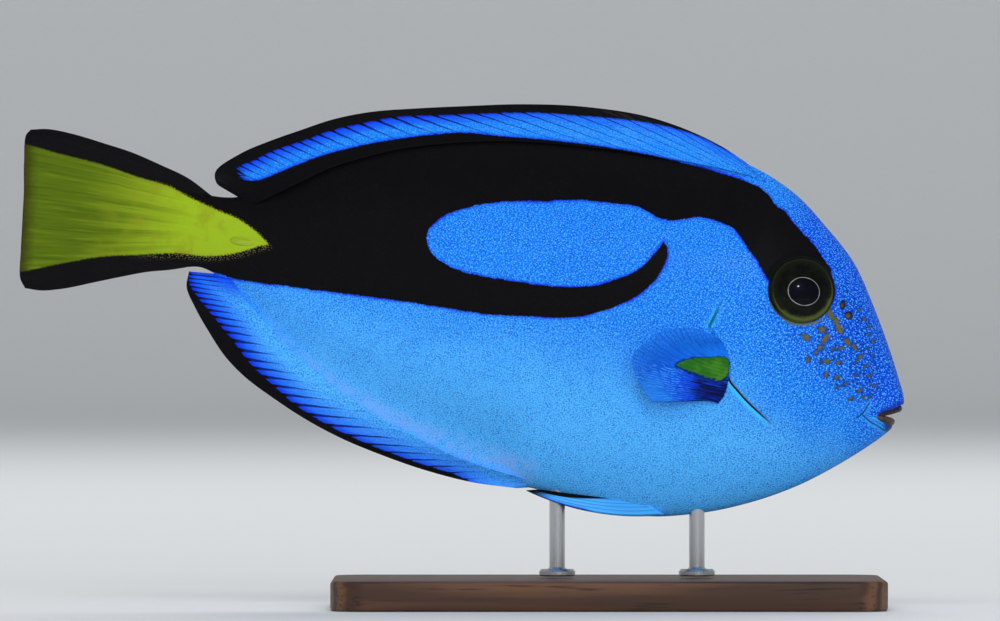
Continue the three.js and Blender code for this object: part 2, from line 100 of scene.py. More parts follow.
# Markings seen from the side, as outlines of x, z. The black palette mark runs from the eye along
# the back and round the tail, and holds a blue island.
black_mark = [
    (-52.9, 15.4), (-50.8, 14.7), (-48.4, 15.2), (-45.3, 17.1), (-39.2, 20.8), (-29.8, 24.9), (-16.9, 28.7),
    (-10.2, 29.3), (-0.3, 30.2), (13.2, 30.6), (26.9, 29.6), (33.2, 28.5), (37.8, 25.6), (41.8, 22.3),
    (44.9, 20.1), (47.2, 17.4), (48.6, 14.5), (49.1, 12.1), (44.0, 9.5), (39.3, 10.8), (38.3, 12.6),
    (35.2, 16.4), (32.1, 19.5), (30.6, 20.9), (28.4, 21.5), (24.9, 21.8), (21.9, 20.9), (20.3, 20.3),
    (19.2, 19.5), (18.9, 18.3), (19.4, 17.1), (20.2, 16.0), (20.6, 14.3), (19.7, 11.1), (18.0, 8.3),
    (14.3, 5.2), (8.1, 2.0), (1.6, 0.8), (-8.4, -0.3), (-21.9, -0.6), (-38.7, -1.4), (-48.8, -1.8),
    (-53.9, -1.2), (-56.4, -1.1), (-59.5, -3.5), (-64, -12), (-95, -20), (-95, 30), (-62, 26), (-56.5, 21),
    (-54.3, 17.4),
]
blue_island = [
    (19.9, 20.4), (18.2, 20.4), (14.8, 21.6), (8.1, 21.4), (4.7, 21.1), (-1.8, 19.7), (-8.3, 18.5),
    (-14.7, 16.0), (-17.7, 14.0), (-19.3, 11.2), (-18.8, 8.9), (-16.5, 7.2), (-12.9, 6.0), (-6.1, 5.9),
    (0.6, 6.0), (8.9, 7.3), (13.6, 9.5), (16.5, 11.7), (17.9, 13.6), (19.1, 15.7), (19.9, 17.2),
]
yellow_wedge = [
    (-93, 14.8), (-87.8, 14.6), (-82.0, 14.0), (-75.2, 13.5), (-68.2, 12.4), (-63.0, 11.8), (-59.4, 10.6),
    (-54.1, 9.2), (-50.6, 8.4), (-46.9, 6.6), (-44.7, 4.7), (-46.4, 4.0), (-49.5, 2.4), (-54.3, 0.9),
    (-60.1, 0.4), (-65.9, -0.9), (-72.3, -2.4), (-78.7, -4.7), (-85.0, -7.2), (-93, -9.6),
]
stripe_top = [
    (-46.5, 4), (-51.4, 13.6), (-52.8, 16.1), (-49.8, 18.3), (-46.8, 20.5), (-42.9, 22.6), (-38.3, 25.2),
    (-33.6, 27.3), (-27.2, 29.6), (-20.7, 31.0), (-14.2, 32.4), (-4.4, 34.3), (2.3, 35.0), (9.0, 35.6),
    (15.7, 35.8), (22.6, 35.0), (26.2, 33.9), (31, 32.7), (36, 30.9), (46, 25),
]
fin_base_sheen = [(-44, -9.5), (-36, -14.2), (-25, -18.9), (-12, -22.3), (4, -24.6)]
jaw_shade = [(60.9, -6.6), (61.8, -6.4), (63.6, -6.3), (62.9, -7.6), (61.6, -8.3), (61.2, -7.8)]
eye_streak = [(48.5, 10.2), (49.2, 9.3), (50.0, 8.6), (51.2, 7.1)]
lower_eyelid_glow = [(38.9, 9.6), (42.6, 7.1), (46.6, 7.6), (49.2, 9.4)]

# Brown and olive blotches between eye and mouth: x, z, half length, half height, turn in degrees
blotches = [
    (48.0, 6.9, 0.75, 0.55, 20), (48.8, 5.5, 0.95, 0.5, 75), (45.6, 5.2, 0.85, 0.5, -25),
    (52.6, 5.5, 0.8, 0.5, -35), (48.2, 3.8, 0.7, 0.4, 70), (47.7, 2.9, 0.45, 0.3, 60),
    (46.6, 1.7, 0.55, 0.4, 80), (50.7, 4.1, 0.55, 0.32, 60), (51.8, 4.4, 0.45, 0.35, 10),
    (53.9, 4.9, 0.6, 0.35, -35), (49.6, 1.8, 0.8, 0.4, 15), (51.7, 1.9, 0.6, 0.32, 20),
    (55.1, 3.4, 0.65, 0.36, 55), (54.5, 2.6, 0.4, 0.3, 80), (56.3, 2.1, 0.5, 0.25, 40),
    (50.0, -0.4, 0.45, 0.4, 80), (51.9, -0.6, 0.5, 0.36, 20), (55.0, 0.4, 0.38, 0.22, 0),
    (57.2, 0.8, 0.5, 0.26, 50), (53.4, -1.4, 0.45, 0.22, 50), (52.2, -2.2, 0.3, 0.2, 0),
    (56.1, -1.9, 0.6, 0.26, 45), (54.8, -3.6, 0.46, 0.34, 50), (56.8, -3.1, 0.3, 0.26, 0),
    (57.8, -2.9, 0.36, 0.2, 70), (53.6, 11.2, 0.34, 0.3, 0), (54.7, 9.7, 0.5, 0.3, 20),
    (55.7, 8.7, 0.42, 0.3, -20), (55.9, 7.4, 0.4, 0.26, 30), (56.8, 6.4, 0.42, 0.26, 20),
    (58.3, -0.8, 0.3, 0.2, 0), (56.0, 5.1, 0.26, 0.2, 0), (57.4, 3.9, 0.3, 0.2, 40),
]

# Fins. Each row is a ray from its root to its tip, from front to rear: x, z, x, z
dorsal_rays = 28
dorsal_ray_lines = [
    (38.5, 27.6, 36.5, 29.3), (36.5, 28.8, 26.0, 34.2), (34.0, 29.6, 14.5, 36.7), (28.5, 30.2, 3.0, 36.6),
    (18.0, 30.4, -7.5, 35.2), (5.5, 30.0, -17.0, 33.2), (-7.5, 28.8, -25.0, 31.4),
    (-18.0, 26.6, -32.0, 29.6), (-26.0, 24.2, -38.0, 27.3), (-32.0, 21.6, -43.2, 24.5),
    (-37.0, 19.0, -48.0, 21.8), (-41.5, 15.8, -52.4, 18.9), (-45.5, 13.0, -55.9, 15.3),
    (-47.5, 11.6, -55.4, 13.4), (-49.0, 10.8, -53.3, 12.4),
]
anal_rays = 24
anal_ray_lines = [
    (8.5, -26.6, 2.6, -28.0), (3.0, -26.0, -5.0, -28.3), (-2.5, -25.4, -12.8, -27.7),
    (-7.5, -24.6, -20.3, -26.5), (-12.5, -23.2, -27.5, -24.9), (-19.0, -21.2, -34.2, -22.7),
    (-24.6, -19.0, -40.0, -20.2), (-29.2, -17.0, -45.0, -17.7), (-33.8, -14.4, -49.0, -14.8),
    (-39.2, -10.8, -52.5, -11.1), (-44.0, -7.4, -55.3, -7.7), (-47.6, -4.4, -57.3, -4.6),
    (-50.5, -1.3, -57.4, -1.9),
]
anal_blue_edge = [
    (-50.0, -1.3), (-54.0, -1.0), (-56.6, -1.2), (-57.3, -2.5), (-56.8, -4.1), (-54.7, -6.3), (-52.8, -7.9),
    (-50.7, -9.8), (-48.2, -11.9), (-44.7, -15.2), (-40.5, -18.0), (-35.2, -21.1), (-28.0, -23.7),
    (-21.8, -25.3), (-13.9, -26.7), (-7.0, -27.5), (-1.0, -27.7), (8.0, -27.6),
]
# The tail fin by its four edges, the upper and lower ones from the stalk outwards: x, z
caudal_rays = 16
caudal_top = [
    (-55.5, 11.0), (-60.2, 13.4), (-65.2, 14.8), (-70.2, 16.0), (-75.2, 16.7), (-80.2, 17.3), (-84.6, 17.4),
    (-87.5, 16.8),
]
caudal_bottom = [
    (-56.0, -0.6), (-60.2, -2.1), (-64.2, -3.2), (-68.5, -4.8), (-73.0, -6.6), (-77.3, -8.3), (-81.0, -9.3),
    (-83.8, -9.4),
]
caudal_root = [(-55.5, 11.0), (-59.8, 9.3), (-61.8, 5.3), (-60.0, 1.4), (-56.0, -0.6)]
caudal_tip = [
    (-87.5, 16.8), (-88.1, 15.7), (-87.6, 11.0), (-86.8, 6.3), (-86.2, 1.6), (-85.6, -3.1), (-84.9, -7.8),
    (-83.8, -9.4),
]
tail_upper_edge = [(-88, 17.4), (-72, 16.4), (-60, 13.6), (-55, 11.4), (-49, 8.6), (-44, 5.4)]
tail_lower_edge = [(-88, -9.6), (-72, -6.6), (-60, -2.2), (-55, -0.6), (-49, 1.6), (-44, 4.0)]
pectoral_rays = 16
pectoral_root = [(32.5, 0.9), (33.6, -1.1), (34.1, -3.0), (34.2, -4.9), (33.8, -6.5), (32.6, -7.8)]
pectoral_bend = [
    (32.2, 1.6), (29.4, -0.3), (26.6, -1.3), (24.6, -2.3), (23.6, -3.5), (23.6, -5.2), (24.4, -6.6),
    (25.6, -7.8), (27.8, -8.9),
]
pectoral_tip = [
    (30.4, 2.9), (27.8, 3.4), (24.9, 3.1), (22.0, 2.1), (19.5, 0.05), (17.7, -2.8), (18.0, -4.7),
    (19.05, -6.4), (20.6, -8.3), (22.2, -9.8),
]
pectoral_bend_stand = (1.5, 2.6, 3.2, 3.0)
pectoral_tip_stand = (2.4, 4.6, 5.6, 4.2)
pectoral_root_sink = 0.9
pectoral_patch = [
    (25.2, -3.0), (27.4, -1.6), (30.4, -0.9), (33.2, -0.5), (34.0, -2.4), (33.2, -4.1), (30.6, -4.3),
    (27.7, -3.8),
]
pectoral_base = [
    (28.4, -4.0), (31.6, -4.1), (35.6, -3.4), (35.8, -6.6), (34.2, -9.0), (31.2, -9.4), (29.4, -8.6),
    (28.6, -6.6),
]
pelvic_rays = 5
pelvic_root = [(28.0, -28.0), (25.5, -27.0), (23.0, -26.4)]
pelvic_bend = [(16.5, -31.4), (15.5, -29.3), (14.5, -27.3)]
pelvic_tip = [(4.3, -28.1), (5.4, -27.8), (6.8, -27.45)]
pelvic_aside = (1.6, 2.3, 2.3)

# Stand
base_size = (92, 54, 5)
base_corner = 6
base_bevel = 0.6
rod_radius = 1.3
collar_radius = 3
collar_height = 1.2
rod_gap = 0.3
rod_rise = 2.5
rod_facets = 56
crisp_angle = math.radians(30)
rod_meets = {"stand_rod_front": (33, -27), "stand_rod_rear": (9.5, -27.8)}


# Lines, distances and easing

def eased(value, low, high):
    """From 0 at low to 1 at high, smooth at both ends."""
    share = np.clip((value - low) / (high - low), 0, 1)
    return share * share * (3 - 2 * share)


def hump(value, width):
    """1 at nothing, fading away beyond the width on both sides."""
    return np.exp(-(value / width) ** 2)


def smooth_line(points, shares):
    """Points on the curve through the given points, counted evenly from the first to the last."""
    given = np.array(points, float)
    p = np.vstack([2 * given[0] - given[1], given, 2 * given[-1] - given[-2]])
    spot = np.clip(np.asarray(shares, float), 0, 1) * (len(given) - 1)
    i = np.minimum(spot.astype(int), len(given) - 2)
    t = (spot - i)[..., None]
    a, b, c, d = p[i], p[i + 1], p[i + 2], p[i + 3]
    ab, bc, cd = (
        np.maximum(np.linalg.norm(far - near, axis=-1, keepdims=True), 1e-6) ** 0.5
        for near, far in ((a, b), (b, c), (c, d))
    )
    leave = ((b - a) / ab - (c - a) / (ab + bc) + (c - b) / bc) * bc
    reach = ((c - b) / bc - (d - b) / (bc + cd) + (d - c) / cd) * bc
    return b + leave * t + (3 * (c - b) - 2 * leave - reach) * t**2 + (2 * (b - c) + leave + reach) * t**3


def drawn(points, steps_each=6, closed=False):
    """The curve through the points as a fine line of points."""
    points = list(points)
    if not closed:
        return smooth_line(points, np.linspace(0, 1, (len(points) - 1) * steps_each + 1))
    wrapped = points[-1:] + points + points[:2]
    ends = (1 / (len(wrapped) - 1), 1 - 1 / (len(wrapped) - 1))
    return smooth_line(wrapped, np.linspace(*ends, len(points) * steps_each + 1))


def line_gap(x, z, line):
    """Distance of each place from a line, which side of it the place is on, and how far along."""
    best = np.full(x.shape, np.inf)
    side = np.ones(x.shape)
    share = np.zeros(x.shape)
    for k in range(len(line) - 1):
        (ax, az), (bx, bz) = line[k], line[k + 1]
        dx, dz = bx - ax, bz - az
        along = np.clip(((x - ax) * dx + (z - az) * dz) / (dx * dx + dz * dz + 1e-12), 0, 1)
        distance = np.hypot(x - ax - along * dx, z - az - along * dz)
        nearer = distance < best
        best = np.where(nearer, distance, best)
        turn = dx * (z - az) - dz * (x - ax)
        side = np.where(nearer, np.where(turn < 0, -1.0, 1.0), side)
        share = np.where(nearer, (k + along) / (len(line) - 1), share)
    return best, side, share


def off_line(x, z, line):
    return line_gap(x, z, line)[0]


def outline_gap(x, z, outline):
    """Distance of each place from a closed outline, less than nothing inside it."""
    distance = off_line(x, z, outline)
    inside = np.zeros(x.shape, bool)
    for (ax, az), (bx, bz) in zip(outline[:-1], outline[1:]):
        if az == bz:
            continue
        crosses = ((az > z) != (bz > z)) & (x < ax + (z - az) * (bx - ax) / (bz - az))
        inside ^= crosses
    return np.where(inside, -distance, distance)


def closed(points):
    return np.array(list(points) + [points[0]], float)


# Body surface

section_array = np.array(body_sections, float)
back_line = section_array[:, [0, 4, 1]]
belly_line = section_array[:, [2, 4, 3]]


def flank_share(height, keel=0):
    """Half thickness at a height from 1 on the back to -1 under the belly; a keel tapers to a fin."""
    pinch = edge_pinch / 2 + keel * keel_pinch * eased(np.abs(height), 0.35, 1.0)
    return np.clip(1 - height**2, 0, 1) ** pinch * (1 + upper_fullness * height)


def keel_at(x, height):
    """1 where the body tapers into the fin of the back or the belly."""
    back = eased(x, -53, -44) * (1 - eased(x, 26, 38))
    belly = eased(x, -52, -44) * (1 - eased(x, -4, 6))
    return np.where(height > 0, back, belly)


def body_surface(shares, angles):
    """Places on the right flank: angle 0 on the ridge of the back, half a turn under the belly."""
    back, belly = smooth_line(back_line, shares), smooth_line(belly_line, shares)
    middle, rise = (back + belly) / 2, (back - belly) / 2
    height = np.cos(angles)
    x = middle[:, 0] + height * rise[:, 0]
    z = middle[:, 2] + height * rise[:, 2]
    keel = keel_at(x, height)
    z = z + np.sign(height) * keel * keel_reach * eased(np.abs(height), 0.8, 1.0)
    return np.stack([x, -middle[:, 1] * flank_share(height, keel), z], 1)


def section_at(x, z):
    """Back and belly of the section through a place, and the place's height from 1 down to -1."""
    low, high = np.zeros(np.shape(x)), np.ones(np.shape(x))
    for _ in range(30):
        share = (low + high) / 2
        back, belly = smooth_line(back_line, share), smooth_line(belly_line, share)
        lift = (z - belly[..., 2]) / (back[..., 2] - belly[..., 2])
        behind = belly[..., 0] + (back[..., 0] - belly[..., 0]) * lift < x
        low, high = np.where(behind, share, low), np.where(behind, high, share)
    back, belly = smooth_line(back_line, low), smooth_line(belly_line, low)
    height = (2 * z - back[..., 2] - belly[..., 2]) / (back[..., 2] - belly[..., 2])
    return back, belly, np.clip(height, -1, 1)


def flank_at(x, z):
    """Half width of the body at a place on its flank."""
    back, _, height = section_at(x, z)
    return back[..., 1] * flank_share(height)


def unrolled(places):
    """Height of each place of the skin if the flank were rolled out flat, for fine patterns."""
    x, y, z = places.T
    back, _, height = section_at(x, z)
    return z + np.sign(height) * np.clip(back[:, 1] - np.abs(y), 0, None)


# Marking distances and tones that skin and fins share

black_outline = drawn(black_mark, 5, closed=True)
island_outline = drawn(blue_island, 5, closed=True)
yellow_outline = drawn(yellow_wedge, 5, closed=True)


def black_gap(x, z):
    return np.maximum(outline_gap(x, z, black_outline), -outline_gap(x, z, island_outline))


def yellow_gap(x, z):
    return outline_gap(x, z, yellow_outline)


def blue_tone(x, z):
    """0 in the palest blue of the belly, 1 in the deep blue of the forehead and snout."""
    tone = 0.6 * eased(z, -22, 14) - 0.15 * eased(z, 24, 32)
    tone += 0.55 * eased(x, 30, 60) * (0.35 + 0.65 * eased(z, -16, 4))
    tone += 0.2 * eased(x, 54, 60) + 0.3 * eased(x, 36, 50) * eased(z, 8, 16)
    return np.clip(tone, 0, 1)


def tail_layers(x, z):
    """Where a place lies between the lower and upper edge of the tail, and how far out along it."""
    high = np.interp(x, *zip(*tail_upper_edge))
    low = np.interp(x, *zip(*tail_lower_edge))
    return {"fan": (z - low) / (high - low), "outward": (-x - 44) / 44}


# Mesh helpers

def places_of(mesh, kind="co"):
    flat = np.zeros(len(mesh.vertices) * 3, np.float32)
    mesh.vertices.foreach_get(kind, flat)
    return flat.reshape(-1, 3).astype(float)


def set_places(mesh, places):
    mesh.vertices.foreach_set("co", places.astype(np.float32).ravel())
    mesh.update()


def paint(mesh, **layers):
    """Keeps a number at each point of the mesh, for its material to read."""
    for name, values in layers.items():
        layer = mesh.attributes.new(name, "FLOAT", "POINT")
        layer.data.foreach_set("value", np.asarray(values, np.float32))


def set_points(bm, places):
    for vert, place in zip(bm.verts, places):
        vert.co = place


def as_mesh(bm, name):
    mesh = bpy.data.meshes.new(name)
    bm.to_mesh(mesh)
    bm.free()
    return mesh


def to_mesh(bm, name, merge=1e-4):
    bmesh.ops.remove_doubles(bm, verts=bm.verts, dist=merge)
    bmesh.ops.dissolve_degenerate(bm, edges=bm.edges, dist=1e-6)
    bmesh.ops.recalc_face_normals(bm, faces=bm.faces)
    return as_mesh(bm, name)


def linked(name, data):
    made = bpy.data.objects.new(name, data)
    bpy.context.scene.collection.objects.link(made)
    return made


def smooth_object(name, mesh, material):
    mesh.polygons.foreach_set("use_smooth", np.ones(len(mesh.polygons), bool))
    mesh.materials.append(material)
    mesh.update()
    return linked(name, mesh)


def finished(name, mesh, place, material, slot, *nodes):
    """Sets a mesh in its place as a piece of the object."""
    mesh.transform(place)
    piece = smooth_object(name, mesh, material)
    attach(piece, "root")
    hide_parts(*nodes)


def param_grid(columns, rows):
    """A flat grid whose points run from 0 to 1 both ways, in x and in y."""
    bm = bmesh.new()
    bmesh.ops.create_grid(bm, x_segments=columns, y_segments=rows, size=0.5)
    bmesh.ops.translate(bm, verts=bm.verts, vec=(0.5, 0.5, 0))
    return bm


def points_of(bm):
    return np.array([vert.co for vert in bm.verts], float)


def both_sides(bm, merge):
    """Adds the mirror image across the fish's middle plane."""
    bmesh.ops.mirror(bm, geom=bm.verts[:] + bm.edges[:] + bm.faces[:], axis="Y",
                     matrix=Matrix.Identity(4), merge_dist=merge)


def turned(profile, steps):
    """The round form that a profile of radius and height makes."""
    bm = bmesh.new()
    verts = [bm.verts.new((radius, 0, height)) for radius, height in profile]
    edges = [bm.edges.new(pair) for pair in zip(verts, verts[1:])]
    bmesh.ops.spin(bm, geom=verts + edges, cent=(0, 0, 0), axis=(0, 0, 1), angle=2 * math.pi, steps=steps,
                   use_merge=True)
    return bm


# Materials

class Signal:
    """The output of a shader node, for use in sums."""

    def __init__(self, finish, socket):
        self.finish = finish
        self.socket = socket

    def math(self, operation, *others):
        return self.finish.node("ShaderNodeMath", {"operation": operation}, dict(enumerate((self, *others))))

    def __add__(self, other):
        return self.math("ADD", other)

    def __sub__(self, other):
        return self.math("SUBTRACT", other)

    def __rsub__(self, other):
        return self.finish.node("ShaderNodeMath", {"operation": "SUBTRACT"}, {0: other, 1: self})

    def __mul__(self, other):
        return self.math("MULTIPLY", other)

    __radd__ = __add__
    __rmul__ = __mul__

    def ramp(self, low, high):
        """0 at low and 1 at high, smooth between."""
        settings = {"interpolation_type": "SMOOTHSTEP"}
        return self.finish.node("ShaderNodeMapRange", settings, {0: self, 1: low, 2: high})

    def fade(self, low, high):
        """1 at low and 0 at high, smooth between."""
        return 1 - self.ramp(low, high)


class Finish:
    """A material, and the nodes that make it."""

    def __init__(self, name, **settings):
        self.material = bpy.data.materials.new(name)
        self.material.use_nodes = True
        self.tree = self.material.node_tree
        self.shader = self.tree.nodes["Principled BSDF"]
        self.colour = None
        for socket, value in settings.items():
            self.set(socket.replace("_", " "), value)

    def set(self, socket, value):
        self.feed(self.shader.inputs[socket], value)

    def feed(self, socket, value):
        if isinstance(value, Signal):
            self.tree.links.new(value.socket, socket)
        else:
            socket.default_value = (*value, 1.0) if socket.type == "RGBA" else value

    def node(self, kind, settings=None, inputs=None, output=0):
        made = self.tree.nodes.new(kind)
        for name, value in (settings or {}).items():
            setattr(made, name, value)
        for name, value in (inputs or {}).items():
            self.feed(made.inputs[name], value)
        return Signal(self, made.outputs[output])

    def place(self):
        return self.node("ShaderNodeTexCoord", output="Object")

    def layer(self, name):
        return self.node("ShaderNodeAttribute", {"attribute_name": name}, output="Fac")

    def stretched(self, scale):
        return self.node("ShaderNodeMapping", inputs={0: self.place(), "Scale": scale})

    def noise(self, size, detail=2.0, vector=None):
        """Clouds of about this size in millimetres."""
        inputs = {"Vector": vector or self.place(), "Scale": 1 / (size * mm), "Detail": detail}
        return self.node("ShaderNodeTexNoise", inputs=inputs)

    def stir(self, size, amount, detail=2):
        """Clouds that add and take away up to half this amount."""
        return (self.noise(size, detail) - 0.5) * amount

    def specks(self, size, low, high):
        """1 in scattered specks and 0 between them."""
        inputs = {"Vector": self.place(), "Scale": 1 / (size * mm)}
        return self.node("ShaderNodeTexVoronoi", None, inputs, "Distance").fade(low, high)

    def dots(self, size, loose=0.8, sway=0.15):
        """Distance from the nearest of many points spread over the rolled-out skin."""
        spot = self.node("ShaderNodeCombineXYZ", None, {0: self.layer("net_run"), 1: self.layer("net_rise")})
        drift = self.node("ShaderNodeTexNoise", None, {"Vector": spot, "Scale": 1.3, "Detail": 1.0}, "Color")
        inputs = {0: drift, 1: (sway,) * 3, 2: spot}
        moved = self.node("ShaderNodeVectorMath", {"operation": "MULTIPLY_ADD"}, inputs)
        inputs = {"Vector": moved, "Scale": 1 / size, "Randomness": loose}
        return self.node("ShaderNodeTexVoronoi", {"voronoi_dimensions": "2D"}, inputs, "Distance")

    def mix(self, factor, a, b, blend="MIX"):
        inputs = {0: factor, 6: a, 7: b}
        return self.node("ShaderNodeMix", {"data_type": "RGBA", "blend_type": blend}, inputs, 2)

    def over(self, factor, colour, blend="MIX"):
        """Lays a colour over the colour so far."""
        self.colour = self.mix(factor, self.colour, colour, blend)

    def done(self, roughness=None, relief=None, depth=0.02, strength=0.4):
        """The finished material, its relief as deep as this in millimetres."""
        self.set("Base Color", self.colour)
        if roughness:
            self.set("Roughness", roughness)
        if relief:
            inputs = {"Height": relief, "Distance": depth * mm, "Strength": strength}
            self.set("Normal", self.node("ShaderNodeBump", inputs=inputs))
        return self.material


pale_blue = (0.075, 0.43, 0.96)
clear_blue = (0.007, 0.200, 0.82)
deep_blue = (0.001, 0.082, 0.72)
vivid_blue = (0.003, 0.020, 0.66)
soft_black = (0.0029, 0.0026, 0.0032)
fin_black = (0.0021, 0.0019, 0.0026)
warm_black = (0.0075, 0.0058, 0.0062)
stalk_yellow = (0.270, 0.400, 0.014)
fin_yellow = (0.080, 0.128, 0.004)
edge_olive = (0.036, 0.034, 0.002)
blotch_olive = (0.070, 0.095, 0.030)
slit_teal = (0.008, 0.15, 0.18)
slit_black = (0.004, 0.005, 0.012)
pale_cyan = (0.050, 0.58, 0.95)
flesh = {"IOR": 1.4, "Specular_IOR_Level": 0.08, "Coat_Weight": 0.05, "Coat_Roughness": 0.25}


def blue_skin(finish, speckle):
    """Blue skin with fine dark points and painted glints, pale points where light catches the scales; speckle
    says how strong they are.
    """
    patchy = finish.layer("tone") + finish.stir(6, 0.24, 3)
    finish.colour = finish.mix(patchy.ramp(0.0, 0.55), pale_blue, clear_blue)
    finish.over(patchy.ramp(0.5, 1.05), deep_blue)
    dot = finish.dots(0.365, 0.9, 0.25)
    uneven = 0.5 + finish.noise(1.4, 2).ramp(0.3, 0.7) * 0.5
    dark = dot.fade(0.12, 0.50) * speckle * uneven
    finish.over(dark, (0.06, 0.20, 0.46), "MULTIPLY")
    # Painted glints: pale points of highlight where light catches the scales
    glint = finish.dots(0.43, 1.0, 0.6).fade(0.10, 0.34)
    finish.over(glint * speckle * 0.65, (0.14, 0.56, 1.0))
    return dot


def black_flesh(finish):
    """Soft black with warmer specks."""
    speck = finish.specks(0.5, 0.12, 0.34) * finish.noise(3, 2).ramp(0.4, 0.65)
    return finish.mix(speck * 0.8, soft_black, warm_black)


def lay_black(finish, gap, fringe):
    """Lays the black mark over the skin, with the vivid blue fringe along its edge."""
    ragged = gap + finish.stir(0.5, 0.36) + (finish.noise(2.4, 2) - 0.5) * finish.layer("wavy")
    finish.over(ragged.fade(0.0, 0.62) * fringe, vivid_blue)
    finish.over(ragged.fade(-0.08, 0.12), black_flesh(finish))


def yellow_flesh(finish):
    """Yellow of the tail stalk and fin: bright at the stalk, streaked and olive towards the edge."""
    fan, outward = finish.layer("fan"), finish.layer("outward")
    flow = finish.node("ShaderNodeCombineXYZ", None, {0: fan * 30.0, 1: outward * 2.4})
    broad = finish.node("ShaderNodeTexNoise", None, {"Vector": flow, "Scale": 0.45, "Detail": 2.0})
    fine = finish.node("ShaderNodeTexNoise", None, {"Vector": flow, "Scale": 1.6, "Detail": 3.0})
    colour = finish.mix((outward + (broad - 0.5) * 0.3).ramp(0.28, 0.78), stalk_yellow, fin_yellow)
    shade = broad.ramp(0.46, 0.70) * outward.ramp(0.3, 0.6)
    colour = finish.mix(shade * 0.5, colour, (0.055, 0.092, 0.002))
    colour = finish.mix(fine.ramp(0.50, 0.72) * outward.ramp(0.3, 0.62) * 0.62, colour, (0.045, 0.080, 0.002))
    bright = fine.fade(0.30, 0.46) * outward.ramp(0.4, 0.75)
    colour = finish.mix(bright * 0.55, colour, (0.16, 0.215, 0.008))
    amber = finish.noise(3.2, 3).ramp(0.44, 0.70) * outward.ramp(0.12, 0.26) * outward.fade(0.50, 0.75)
    return finish.mix(amber * 0.6, colour, (0.21, 0.23, 0.010)), fine


def lay_yellow(finish, yellow):
    """Lays the yellow wedge over the colour so far, its edge broken up by scales."""
    ragged = finish.layer("yellow_gap") + finish.stir(0.45, 0.30)
    dots = finish.dots(0.42).fade(0.14, 0.36) * finish.layer("outward").fade(0.36, 0.56)
    beyond = ragged.fade(0.0, 1.0) * finish.layer("fan").fade(0.3, 0.6) * dots
    finish.over(beyond * 0.8, (0.13, 0.125, 0.06))
    rim = finish.mix(ragged.fade(-0.4, 0.1) * dots, finish.colour, (0.34, 0.26, 0.012))
    rim = finish.mix(ragged.ramp(-0.55, -0.15), yellow, rim)
    finish.over(ragged.fade(-0.02, 0.14), rim)


def skin_finish():
    finish = Finish("blue_tang_skin", IOR=1.4, Specular_IOR_Level=0.08, Coat_Roughness=0.28, Coat_IOR=1.4)
    black_gap = finish.layer("black_gap")
    dot = blue_skin(finish, 0.85 + finish.layer("head") * 0.25)
    sheen = finish.layer("sheen_gap").fade(0.0, 3.2) * finish.noise(2.2, 2).ramp(0.25, 0.6)
    finish.over(sheen * 0.6, (0.20, 0.37, 0.80))
    lay_black(finish, black_gap, 0.45 + finish.noise(7, 2).ramp(0.35, 0.65) * 0.5)
    lay_yellow(finish, yellow_flesh(finish)[0])
    # Freckles and blotches with darker rims, and the streak under the eye
    freckle = finish.dots(0.72, 1.0, 0.6).fade(0.18, 0.34) * finish.layer("freckle")
    finish.over(freckle * finish.noise(1.3, 2).ramp(0.32, 0.47) * 0.8, (0.002, 0.022, 0.12))
    blotch = finish.layer("blotch_gap") + finish.stir(0.34, 1.15) + 0.03
    finish.over(blotch.fade(0.0, 0.22), (0.006, 0.035, 0.14))
    brown = finish.mix(finish.noise(0.8, 2).ramp(0.35, 0.65), blotch_olive, (0.13, 0.095, 0.05))
    finish.over(blotch.fade(-0.18, 0.04), brown)
    # Gill slit with its pale border, folds of the jaw and nostrils
    gill, shown, upper = finish.layer("gill_gap"), finish.layer("gill_shown"), finish.layer("gill_upper")
    behind = gill.ramp(-1.3, -0.4) * gill.fade(-0.2, 0.0)
    ahead = gill.ramp(0.0, 0.15) * gill.fade(0.3, 1.2) * upper
    finish.over((behind + ahead * 0.6) * shown * (0.95 - upper * 0.45) * 0.7, pale_cyan)
    # Painted highlight: a pale pink line along the edge of the gill cover at the lower slit, where light
    # catches it
    lip = gill.ramp(0.02, 0.08) * gill.fade(0.14, 0.26) * (1 - upper)
    finish.over(lip * shown * 0.8, (0.30, 0.27, 0.30))
    slit = gill.ramp(-0.30 - upper * 0.18, -0.17 - upper * 0.12) * gill.fade(0.0, 0.07)
    finish.over(slit * shown, finish.mix(upper, slit_black, slit_teal))
    fold = finish.layer("fold_gap") + finish.stir(0.7, 0.14, 1)
    finish.over(fold.fade(0.15, 0.75) * finish.layer("corner") * 0.6, (0.05, 0.36, 0.90))
    finish.over(fold.fade(0.03, 0.24) * 0.85, (0.003, 0.05, 0.17))
    glow = finish.layer("lip_glow_gap") + finish.stir(0.5, 0.2, 1)
    finish.over(glow.fade(0.0, 0.36) * 0.65, (0.05, 0.44, 0.80))
    shade = (finish.layer("jaw_shade_gap") + finish.stir(0.4, 0.6)).fade(-0.4, 0.25)
    finish.over(shade * 0.88, (0.012, 0.035, 0.10))
    finish.over(finish.layer("lip_edge_gap").fade(0.05, 0.55) * 0.85, (0.008, 0.020, 0.30))
    nostril = finish.layer("nostril_gap")
    finish.over(nostril.fade(0.02, 0.2), (0.006, 0.02, 0.06))
    finish.over(nostril.fade(-0.24, -0.06), (0.12, 0.08, 0.045))
    # Skin round the eye, and the inside of the mouth
    socket = finish.layer("eye_gap")
    finish.over(socket.fade(-0.05, 0.22) * 0.9, (0.006, 0.008, 0.008))
    glow = finish.layer("glow_gap") + finish.stir(0.7, 0.4)
    finish.over(glow.fade(0.1, 0.5) * socket.fade(0.30, 0.75) * 0.85, (0.085, 0.115, 0.03))
    finish.over(finish.layer("mouth").ramp(0.0, 0.3), (0.045, 0.022, 0.014))
    grain = finish.noise(0.3, 2)
    finish.set("Coat Weight", 0.14 - black_gap.fade(-0.2, 0.2) * 0.12)
    return finish.done(0.40 + grain * 0.16, dot.ramp(0.0, 0.5) + grain * 0.5, 0.030)


